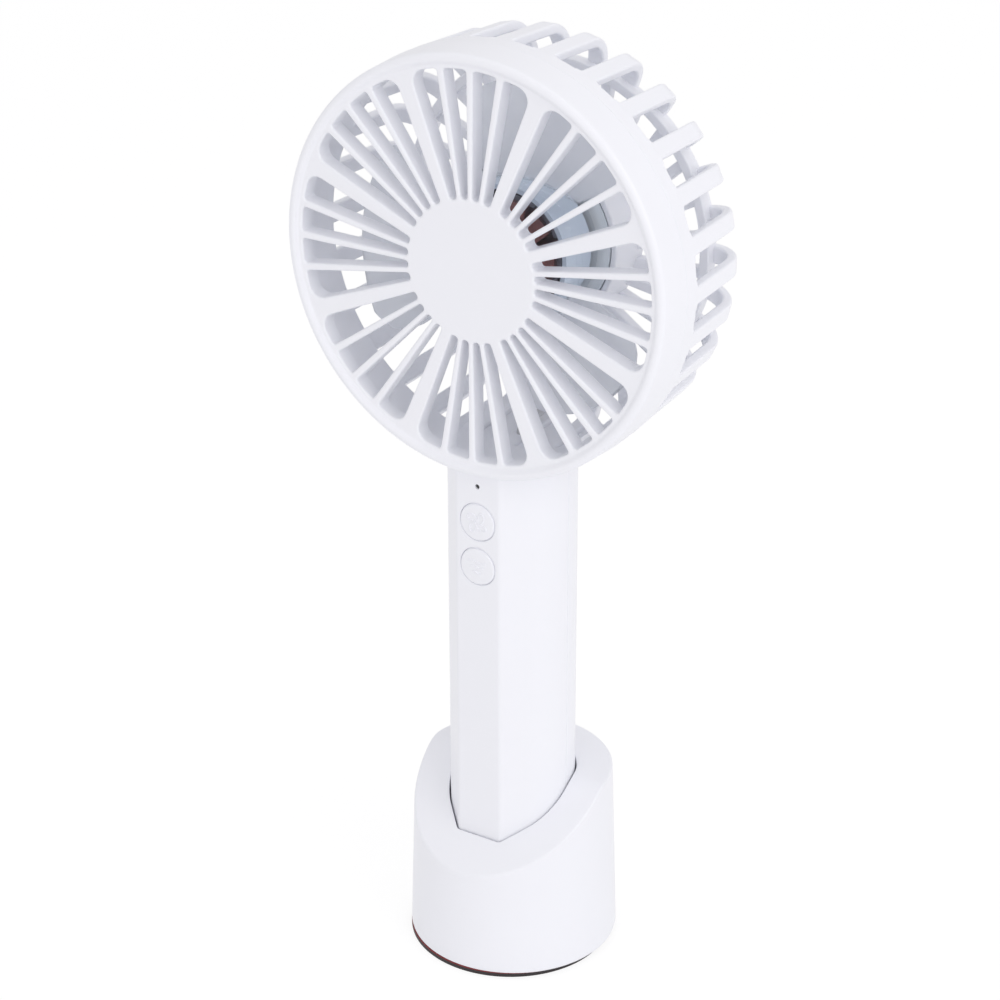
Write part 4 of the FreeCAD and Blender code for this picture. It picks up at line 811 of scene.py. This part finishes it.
impeller = {
    "blades": 3, "tip": 41.0, "root": 16.8, "thickness": 1.2, "front": 6.0, "back": -3.2,
    "lead": 32.0, "sweep": 66.0, "camber": 0.16, "chordSteps": 14, "spanSteps": 14, "tipCrowding": 1.5,
    # the blade thins over these shares of its chord and span, down to these shares of its thickness
    "edgeShare": 0.03, "edgeThin": 0.08, "tipShare": 0.015, "tipThin": 0.12, "chordThin": 0.75,
    # share of the span, lead angle, trail angle, drop of the front edge, extra reach of the rear edge
    "stations": [(0.0, 9, 8, 2.2, 2.4), (0.25, 6, 8, 1.0, 1.6), (0.55, 2, 7, 0.3, 0.8),
                 (0.80, 0, 3, 0, 0.2), (0.93, 1.5, -1, 0, 0), (1.0, 6, -7, 0, 0)],
    "hubRadius": 17.22, "hubInside": 16.02, "hubFront": 4.6, "hubBack": -8.6, "hubFloor": 3.4,
    "bossRadius": 3.2, "bossFoot": 1.2, "bossFront": 6.2, "bossBack": 2.6, "shaftRadius": 1.02,
    "recess": (2.6, 3.6),  # radii between which the hub's floor slopes at the back
    "beads": (-1.0, 1.5), "beadHeight": 0.25, "segments": 192,
}


# smooth curve through a table of (share, value...) rows
def readTable(rows, share):
    for i in range(len(rows) - 1):
        if share <= rows[i + 1][0] or i == len(rows) - 2:
            low, high = rows[i], rows[i + 1]
            before, after = rows[max(i - 1, 0)], rows[min(i + 2, len(rows) - 1)]
            width = high[0] - low[0]
            t = (share - low[0]) / width
            values = []
            for k in range(1, len(low)):
                slopeLow = (high[k] - before[k]) / max(high[0] - before[0], 1e-9) * width
                slopeHigh = (after[k] - low[k]) / max(after[0] - low[0], 1e-9) * width
                values.append((2 * t ** 3 - 3 * t ** 2 + 1) * low[k] + (t ** 3 - 2 * t ** 2 + t) * slopeLow
                              + (3 * t ** 2 - 2 * t ** 3) * high[k] + (t ** 3 - t ** 2) * slopeHigh)
            return values


# quarter-round fall from 1 at zero to 0 at one
def roundOff(share):
    return math.sqrt(max(0.0, 1 - max(0.0, share) ** 2))


def makeBlade(turn):
    wheel = impeller
    rings = []
    for i in range(wheel["spanSteps"] + 1):
        share = 1 - (1 - i / wheel["spanSteps"]) ** wheel["tipCrowding"]
        radius = wheel["root"] + (wheel["tip"] - wheel["root"]) * share
        leadShift, trailShift, drop, reach = readTable(wheel["stations"], share)
        lead = wheel["lead"] + leadShift
        trail = wheel["lead"] + wheel["sweep"] + trailShift
        low, high = wheel["back"] - reach, wheel["front"] - drop
        tipThin = roundOff((share - (1 - wheel["tipShare"])) / wheel["tipShare"])
        upper, lower = [], []
        for k in range(wheel["chordSteps"] + 1):
            part = (1 - math.cos(math.pi * k / wheel["chordSteps"])) / 2
            angle = math.radians(lead + (trail - lead) * part) + turn
            rise = part + wheel["camber"] * math.sin(math.pi * part) * (1 - part)
            forward = low + (high - low) * rise
            edgeThin = roundOff(1 - min(1.0, min(part, 1 - part) / wheel["edgeShare"]))
            half = wheel["thickness"] / 2 * max(wheel["edgeThin"], edgeThin) * max(wheel["tipThin"], tipThin)
            half *= wheel["chordThin"] + (1 - wheel["chordThin"]) * math.sin(math.pi * part)
            x, up = radius * math.cos(angle), radius * math.sin(angle)
            upper.append(headPoint(x, up, forward + half))
            lower.append(headPoint(x, up, forward - half))
        rings.append(upper + lower[::-1])
    return loftRings("blade", rings)


def makeImpeller():
    wheel = impeller
    hub, inside, floor = wheel["hubRadius"], wheel["hubInside"], wheel["hubFloor"]
    bead = wheel["beadHeight"]
    beads = []
    for middle in wheel["beads"]:
        beads += [(hub, middle - 2 * bead, 0.1), (hub + bead, middle - bead, 0.15),
                  (hub + bead, middle + bead, 0.15), (hub, middle + 2 * bead, 0.1)]
    shaft, boss = wheel["shaftRadius"], wheel["bossRadius"]
    near, far = wheel["recess"]
    profile = roundedPath(
        [(shaft, wheel["bossBack"], 0), (near, wheel["bossBack"], 0.2), (far, floor, 0), (inside, floor, 0),
         (inside, wheel["hubBack"], 0), (hub, wheel["hubBack"], 0.3)] + beads
        + [(hub, wheel["hubFront"], 0.7), (boss + wheel["bossFoot"], wheel["hubFront"], 0.6),
           (boss, wheel["bossFront"], 0.4), (shaft, wheel["bossFront"], 0.2)], 4, closed=True)
    wheelShape = turnOnHead("impeller", profile, wheel["segments"])
    blades = [makeBlade(2 * math.pi * k / wheel["blades"]) for k in range(wheel["blades"])]
    return combine(wheelShape, blades, "UNION")


dress(makeImpeller(), "smoke_plastic", "rotor", "impeller")
print("impeller made")


# handle

handle = {
    "radius": 15.5, "centre": -0.5, "front": 16.2, "halfFacet": 5.95, "cornerRound": 1.5, "wall": 1.8,
    "bottom": 16.0, "floor": 1.8, "floorInset": 1.0, "seamGap": 0.05, "seamClear": 0.3, "seamChamfer": 0.18,
    "headClearance": 50.7, "bottomRound": 0.6, "topRound": 0.25, "arcSteps": 40,
}


# right half of the section from the back (angle 90) round to the facet's middle, grown by offset
def halfSection(offset):
    grip = handle
    radius = grip["radius"] + offset
    corner = Vector((grip["halfFacet"], -grip["front"] - grip["centre"]))
    touch = math.atan2(corner.y, corner.x) + math.acos(grip["radius"] / corner.length)
    half = grip["halfFacet"] + offset * math.tan((touch + math.pi / 2) / 2)
    facetY = -grip["front"] - offset
    touchPoint = (radius * math.cos(touch), radius * math.sin(touch) + grip["centre"])
    path = roundedPath([touchPoint + (0,), (half, facetY, grip["cornerRound"]), (0, facetY, 0)], 6)
    arc = []
    for k in range(grip["arcSteps"]):
        angle = math.pi / 2 + (touch - math.pi / 2) * k / grip["arcSteps"]
        arc.append((radius * math.cos(angle), radius * math.sin(angle) + grip["centre"]))
    return arc, path


# closed outline of the whole section, counter-clockwise from the back
def wholeSection(offset):
    arc, path = halfSection(offset)
    right = arc + path
    left = [(-x, y) for x, y in right[1:-1]][::-1]
    return (right + left)[::-1]


# open outline of the front or the rear shell, from seam to seam
def shellPath(offset, isFront):
    grip = handle
    arc, path = halfSection(offset)
    split = grip["centre"]
    side = -1 if isFront else 1
    seam = (math.sqrt((grip["radius"] + offset) ** 2 - grip["seamGap"] ** 2), split + side * grip["seamGap"])
    if isFront:
        right = [seam] + [(x, y) for x, y in arc if y < split - grip["seamClear"]] + path
        return right + [(-x, y) for x, y in right[:-1]][::-1]
    right = [(x, y) for x, y in arc if y > split + grip["seamClear"]] + [seam]
    return [(-x, y) for x, y in right[1:]][::-1] + right


# height of the handle's end, which follows the round of the head
def topHeight(x, drop):
    return headHeight - math.sqrt(max(handle["headClearance"] ** 2 - x * x, 0)) - drop


# a channel with rounded outer edges at both ends; the seam edges are chamfered
def makeHandleShell(name, isFront):
    grip = handle
    innerPath = shellPath(-grip["wall"], isFront)

    def section(inset):
        path = shellPath(-inset, isFront)
        chamfer = grip["seamChamfer"]
        back = -1 if isFront else 1
        ends = []
        for x, y in (path[0], path[-1]):
            pull = chamfer * (1 if x > 0 else -1)
            ends.append(((x - pull, y), (x, y + back * chamfer)))
        return [ends[0][0], ends[0][1]] + path[1:-1] + [ends[1][1], ends[1][0]] + innerPath[::-1]

    rings = []
    for down, out in [(0.0, 1.0), (0.13, 0.5), (0.5, 0.13), (1.0, 0.0)]:
        z = grip["bottom"] + grip["bottomRound"] * down
        rings.append([standPoint(x, y, z) for x, y in section(grip["bottomRound"] * out)])
    for out, drop in [(0.0, 1.0), (0.1, 0.45), (0.4, 0.1), (1.0, 0.0)]:
        rings.append([standPoint(x, y, topHeight(x, grip["topRound"] * drop))
                      for x, y in section(grip["topRound"] * out)])
    shell = loftRings(name, rings)
    # the floor starts a hair above the shell's end, so that no two faces lie in one plane
    floorPath = shellPath(-grip["floorInset"], isFront)
    plate = loftRings("plate", [[standPoint(x, y, z) for x, y in floorPath]
                                for z in (grip["bottom"] + 0.02, grip["bottom"] + grip["floor"])])
    return combine(shell, [plate], "UNION")


# a drill with a flared mouth, so that the hole gets a rounded edge; it works along Y from the face
def makeDrill(name, x, z, radius, yFace, flare, depth, segments=96):
    direction = 1 if yFace < 0 else -1
    profile = [(0, -2.0), (radius + flare, -2.0), (radius + flare, -0.001)]
    profile += [(radius + flare * (1 - math.sin(math.pi / 8 * k)), flare * (1 - math.cos(math.pi / 8 * k)))
                for k in (1, 2, 3, 4)]
    profile += [(radius, depth), (0, depth)]
    return turnProfile(name, profile, segments,
                       lambda a, b, along: standPoint(x + a, yFace + along * direction, z + b))


controls = {
    "powerHeight": 120.0, "modeHeight": 108.4, "buttonRadius": 4.65, "buttonGap": 0.2, "proud": 0.3,
    "holeFlare": 0.3, "holeDepth": 3.5,
    "lampHeight": 129.2, "lampRadius": 0.6, "lampFlare": 0.12, "lampDepth": 4.0,
    "dome": 0.06, "edgeRound": 0.42, "skirtFront": 15.92, "skirtSlope": 0.08, "skirtOut": 0.15,
    "flangeFront": 14.25, "flangeOut": 0.2, "inside": 13.5,
}


def makeFrontShell():
    spot = controls
    facet = -handle["front"]
    drills = [makeDrill("buttonHole", 0, height, spot["buttonRadius"] + spot["buttonGap"], facet,
                        spot["holeFlare"], spot["holeDepth"])
              for height in (spot["powerHeight"], spot["modeHeight"])]
    drills.append(makeDrill("lampHole", 0, spot["lampHeight"], spot["lampRadius"], facet, spot["lampFlare"],
                            spot["lampDepth"], 40))
    return combine(makeHandleShell("handleFront", True), drills, "DIFFERENCE")


port = {"halfWide": 4.05, "halfTall": 1.6, "corner": 1.0, "height": 106.3, "flare": 0.3,
        "inside": 11.0, "flareFrom": 14.2, "flareTo": 14.75, "outside": 17.0}
screws = {"neckX": 5.0, "neckHeight": 123.82, "lowHeight": 21.5, "lowFace": 15.2, "headRadius": 2.1,
          "holeGap": 0.15, "holeFlare": 0.01, "neckSink": 0.4, "neckDepth": 4.5, "lowDepth": 4.0}


def makeRearShell():
    narrow = roundedBlock(port["halfWide"], port["halfTall"], port["corner"], 5)
    flare = port["flare"]
    wide = roundedBlock(port["halfWide"] + flare, port["halfTall"] + flare, port["corner"] + flare, 5)
    stations = ((port["inside"], narrow), (port["flareFrom"], narrow),
                (port["flareTo"], wide), (port["outside"], wide))
    cutters = [loftRings("portHole", [[standPoint(a, y, port["height"] + b) for a, b in outline]
                                      for y, outline in stations])]
    neckFace = math.sqrt(handle["radius"] ** 2 - screws["neckX"] ** 2) + handle["centre"] + screws["neckSink"]
    for x, z, yFace, depth in ((-screws["neckX"], screws["neckHeight"], neckFace, screws["neckDepth"]),
                               (screws["neckX"], screws["neckHeight"], neckFace, screws["neckDepth"]),
                               (0, screws["lowHeight"], screws["lowFace"], screws["lowDepth"])):
        cutters.append(makeDrill("screwHole", x, z, screws["headRadius"] + screws["holeGap"], yFace,
                                 screws["holeFlare"], depth, 48))
    return combine(makeHandleShell("handleRear", False), cutters, "DIFFERENCE")


dress(makeFrontShell(), "white_plastic", "fan", "handle_front_shell")
dress(makeRearShell(), "white_plastic", "fan", "handle_rear_shell")
print("handle shells made")


# push buttons with raised marks

def makeButton(name, height):
    spot = controls
    radius = spot["buttonRadius"]
    skirt, flange = radius + spot["skirtOut"], radius + spot["flangeOut"]
    face = handle["front"] + spot["proud"]
    profile = roundedPath([
        (0, face, 0), (radius, face - spot["dome"], spot["edgeRound"]), (radius, spot["skirtFront"], 0.04),
        (skirt, spot["skirtFront"] - spot["skirtSlope"], 0.04), (skirt, spot["flangeFront"], 0),
        (flange, spot["flangeFront"], 0.05), (flange, spot["inside"], 0.05), (0, spot["inside"], 0)], 6)
    return turnOnHead(name, profile, 128, up=height - headHeight)


marks = {
    "stroke": 0.36, "raise": 0.04, "petals": 4, "petalRoot": 0.5, "petalReach": 2.9, "petalHalf": 0.62,
    "petalTurn": 0.4, "petalLean": 0.22, "petalFullness": 0.6, "petalSteps": 20,
    "waves": (2.32, 1.68, 1.04), "waveGap": 1.35, "waveHeight": 0.28, "waveSteps": 16,
}


# a raised stroke that follows a flat path on a button's face
def makeStroke(path, height):
    curve = bpy.data.curves.new("stroke", "CURVE")
    curve.dimensions = "3D"
    curve.bevel_depth = marks["stroke"] / 2 * mm
    curve.bevel_resolution = 3
    curve.use_fill_caps = True
    line = curve.splines.new("POLY")
    line.points.add(len(path) - 1)
    face = handle["front"] + controls["proud"] + marks["raise"]
    for point, (x, z) in zip(line.points, path):
        point.co = (x * mm, -face * mm, (height + z) * mm, 1)
    carrier = linkObject("stroke", curve)
    mesh = finalMesh(carrier)
    bpy.data.objects.remove(carrier)
    return linkObject("stroke", mesh)


# four open leaves round the middle, each a loop that leans to one side
def petalPaths():
    paths = []
    root = marks["petalRoot"]
    for k in range(marks["petals"]):
        turn = 2 * math.pi * k / marks["petals"] + marks["petalTurn"]
        leaf = []
        for i in range(marks["petalSteps"] + 1):
            share = i / marks["petalSteps"]
            reach = root + (marks["petalReach"] - root) * math.sin(math.pi * share) ** marks["petalFullness"]
            swing = turn + marks["petalHalf"] * (1 - 2 * share) + marks["petalLean"] * reach
            leaf.append((reach * math.cos(swing), reach * math.sin(swing)))
        paths.append(leaf)
    return paths


# three little waves, one above the other, the longest on top
def wavePaths():
    paths = []
    steps, lift = marks["waveSteps"], marks["waveHeight"]
    for row, half in enumerate(marks["waves"]):
        z = marks["waveGap"] - row * marks["waveGap"]
        paths.append([(half * (2 * i / steps - 1), z + lift * math.sin(2 * math.pi * i / steps))
                      for i in range(steps + 1)])
    return paths


for label, height, body, paths in (("power", controls["powerHeight"], "power_key", petalPaths()),
                                   ("mode", controls["modeHeight"], "mode_key", wavePaths())):
    dress(makeButton(label + "Button", height), "white_plastic", body, label + "_button")
    strokes = [makeStroke(path, height) for path in paths]
    dress(joinShells(label + "Mark", strokes), "white_plastic", body)
print("buttons made")


# base

base = {
    "bottomRadius": 26.1, "taper": 0.031, "bottom": 1.4, "level": 47.0, "slant": 35.5, "slantHeight": 46.2,
    "blend": 9.0, "edgeRound": 0.6, "wall": 2.0, "roof": 2.4,
    "rimReach": 26,  # the distance at which the rim's height is read
    "wellGap": 0.4, "wellRound": 0.35, "wellLip": 4.0, "wellFloor": 16.0,
    "wellSleeve": 1.5, "sleeveFoot": 14.5, "sleeveTop": 0.3,
    # height and inset of the wall's corners, from the middle down and under the rim
    "skirt": ((12.0, 0.0), (2.0, 0.0), (1.6, 0.12), (1.4, 0.5), (1.4, 2.0)),
    "segments": 288, "topSteps": 7,
}


# height of the base's top: level at the back, slanting down to the front, with a round blend between
def baseTop(y):
    stand = base
    slope = math.tan(math.radians(stand["slant"]))
    turn = (stand["level"] - stand["slantHeight"]) / slope
    reach = stand["blend"] * math.tan(math.radians(stand["slant"]) / 2)
    if y >= turn + reach:
        return stand["level"]
    if y <= turn - reach * math.cos(math.radians(stand["slant"])):
        return stand["slantHeight"] + slope * y
    along = y - (turn + reach)
    return stand["level"] - stand["blend"] + math.sqrt(stand["blend"] ** 2 - along ** 2)


# how far a line from the middle runs at this angle before it meets the outline
def rayToSection(angle, outline):
    direction = Vector((math.cos(angle), math.sin(angle)))
    count = len(outline)
    for i in range(count):
        a, b = Vector(outline[i]), Vector(outline[(i + 1) % count])
        edge = b - a
        below = direction.x * -edge.y + direction.y * edge.x
        if abs(below) < 1e-12:
            continue
        reach = (a.x * -edge.y + a.y * edge.x) / below
        share = (direction.x * a.y - direction.y * a.x) / below
        if reach > 0 and -1e-9 <= share <= 1 + 1e-9:
            return reach
    return 0.0


# each strip runs up from the well's floor, over the top, down the outside, and under the roof to the sleeve
def makeBaseShell():
    stand = base
    well = wholeSection(stand["wellGap"])
    sleeve = wholeSection(stand["wellGap"] + stand["wellSleeve"])
    arcs = quarterRound(4)
    wellRound, edgeRound, roof = stand["wellRound"], stand["edgeRound"], stand["roof"]

    def outerRadius(z, inset=0.0):
        return stand["bottomRadius"] - inset - stand["taper"] * (z - stand["bottom"])

    strips = []
    for k in range(stand["segments"]):
        angle = 2 * math.pi * k / stand["segments"] + math.pi / stand["segments"]
        sine = math.sin(angle)
        wellReach = rayToSection(angle, well)
        sleeveReach = rayToSection(angle, sleeve)
        rim = outerRadius(baseTop(stand["rimReach"] * sine))
        start, end = wellReach + wellRound, rim - edgeRound
        strip = [(wellReach, stand["wellFloor"]),
                 (wellReach, baseTop(start * sine) - wellRound - stand["wellLip"])]
        for out, down in arcs:
            r = wellReach + wellRound * (1 - out)
            strip.append((r, baseTop(r * sine) - wellRound * (1 - down)))
        for i in range(1, stand["topSteps"]):
            r = start + (end - start) * i / stand["topSteps"]
            strip.append((r, baseTop(r * sine)))
        for out, down in arcs[::-1]:
            r = rim - edgeRound * (1 - out)
            strip.append((r, baseTop(r * sine) - edgeRound * (1 - down)))
        strip += [(outerRadius(z, inset), z) for z, inset in stand["skirt"]]
        under = baseTop((rim - roof) * sine) - roof
        inside = baseTop((sleeveReach + stand["sleeveTop"]) * sine) - roof
        strip += [(outerRadius(under, stand["wall"]), under), (sleeveReach, inside),
                  (sleeveReach, stand["sleeveFoot"])]
        strips.append([standPoint(r * math.cos(angle), r * sine, z) for r, z in strip])
    return skinStrips("baseShell", strips)


dress(makeBaseShell(), "white_plastic", "base", "base_shell")

footPad = {"radius": 25.3, "height": 1.4, "shift": -0.6, "round": 0.18, "segments": 192}


def makeFootPad():
    pad = footPad
    radius, height, shift = pad["radius"], pad["height"], pad["shift"]
    profile = roundedPath([(0.0, 0.0, 0), (radius, 0.0, pad["round"]), (radius, height, pad["round"]),
                           (0.0, height, 0)], 4)[1:-1]
    strips = []
    for k in range(pad["segments"]):
        angle = 2 * math.pi * k / pad["segments"]
        strips.append([standPoint(shift + r * math.cos(angle), shift + r * math.sin(angle), z)
                       for r, z in profile])
    return skinStrips("footPad", strips)


dress(makeFootPad(), "rubber", "base", "rubber_foot")
print("base made")


# stage, light and camera

stage = {"floorHalf": 3.0, "floorColour": (0.95, 0.95, 0.955), "floorWhite": 0.80, "floorGlow": 1.06,
         "skyLight": 0.75, "skyColour": (0.995, 0.985, 0.995)}


# white where the camera, a reflection or clear plastic looks at it, plain for the light itself
def seenDirectly(tree):
    rays = addNode(tree, "ShaderNodeLightPath").outputs
    first = calculate("MAXIMUM", rays["Is Camera Ray"], rays["Is Glossy Ray"])
    return calculate("MAXIMUM", first, rays["Is Transmission Ray"])


def makeFloor():
    half = stage["floorHalf"] / mm
    corners = ((-half, -half), (half, -half), (half, half), (-half, half))
    floor = makePiece("floor", [standPoint(x, y, 0) for x, y in corners], [[0, 1, 2, 3]])
    material, tree, shader = newMaterial("paleFloor", **{
        "Base Color": (*stage["floorColour"], 1), "Roughness": 0.9, "Specular IOR Level": 0.1})
    white = addNode(tree, "ShaderNodeEmission", Strength=stage["floorGlow"])
    share = calculate("MULTIPLY", seenDirectly(tree), stage["floorWhite"])
    join(mixShaders(share, shader.outputs["BSDF"], white.outputs["Emission"]),
         tree.nodes["Material Output"].inputs["Surface"])
    floor.data.materials.append(material)


def makeSky():
    world = bpy.data.worlds.new("softSky")
    world.use_nodes = True
    tree = world.node_tree
    plain = tree.nodes["Background"]
    plain.inputs["Color"].default_value = (*stage["skyColour"], 1)
    plain.inputs["Strength"].default_value = stage["skyLight"]
    white = addNode(tree, "ShaderNodeBackground", Strength=1.0, Color=(1, 1, 1, 1))
    seen = addNode(tree, "ShaderNodeLightPath").outputs["Is Camera Ray"]
    join(mixShaders(seen, plain.outputs["Background"], white.outputs["Background"]),
         tree.nodes["World Output"].inputs["Surface"])
    bpy.context.scene.world = world


# places and sizes of the lamps are in metres; all look at the same spot
lampAim = Vector((0, 0, 0.12))
lamps = {
    "sideSoftbox": {"place": (1.0, -0.35, 0.75), "size": 0.9, "power": 3.1, "colour": (1.0, 0.99, 1.0)},
    "frontSoftbox": {"place": (0.15, -1.25, 0.5), "size": 0.8, "power": 1.0, "colour": (1.0, 0.985, 0.985)},
    "topSoftbox": {"place": (0.1, 0.1, 1.3), "size": 0.9, "power": 0.75, "colour": (0.98, 0.99, 1.0)},
}


def makeLamp(name, setting):
    light = bpy.data.lights.new(name, "AREA")
    light.shape = "SQUARE"
    light.size = setting["size"]
    light.energy = setting["power"]
    light.color = setting["colour"]
    lamp = linkObject(name, light)
    lamp.location = setting["place"]
    lamp.rotation_euler = (lampAim - lamp.location).to_track_quat("-Z", "Y").to_euler()


camera = {"azimuth": 32.325, "elevation": 25.428, "roll": -0.121, "lens": 100.656, "sensor": 36.0,
          "distance": 667.06, "aimRight": -3.338, "aimHeight": 119.302}


def makeCamera():
    view = camera
    a, e = math.radians(view["azimuth"]), math.radians(view["elevation"])
    back = Vector((math.sin(a) * math.cos(e), -math.cos(a) * math.cos(e), math.sin(e)))
    right = Vector((math.cos(a), math.sin(a), 0))
    aim = right * view["aimRight"] + Vector((0, 0, view["aimHeight"]))
    data = bpy.data.cameras.new("camera")
    data.sensor_width = view["sensor"]
    data.lens = view["lens"]
    data.clip_end = 20.0
    data.clip_start = 0.01
    eye = linkObject("camera", data)
    eye.location = (aim + back * view["distance"]) * mm
    eye.rotation_euler = back.to_track_quat("Z", "Y").to_matrix().to_4x4().to_euler()
    eye.rotation_euler.rotate_axis("Z", math.radians(view["roll"]))
    bpy.context.scene.camera = eye


makeFloor()
makeSky()
for lampName, setting in lamps.items():
    makeLamp(lampName, setting)
makeCamera()
bpy.context.scene.view_settings.view_transform = "Standard"
print("stage, light and camera set")
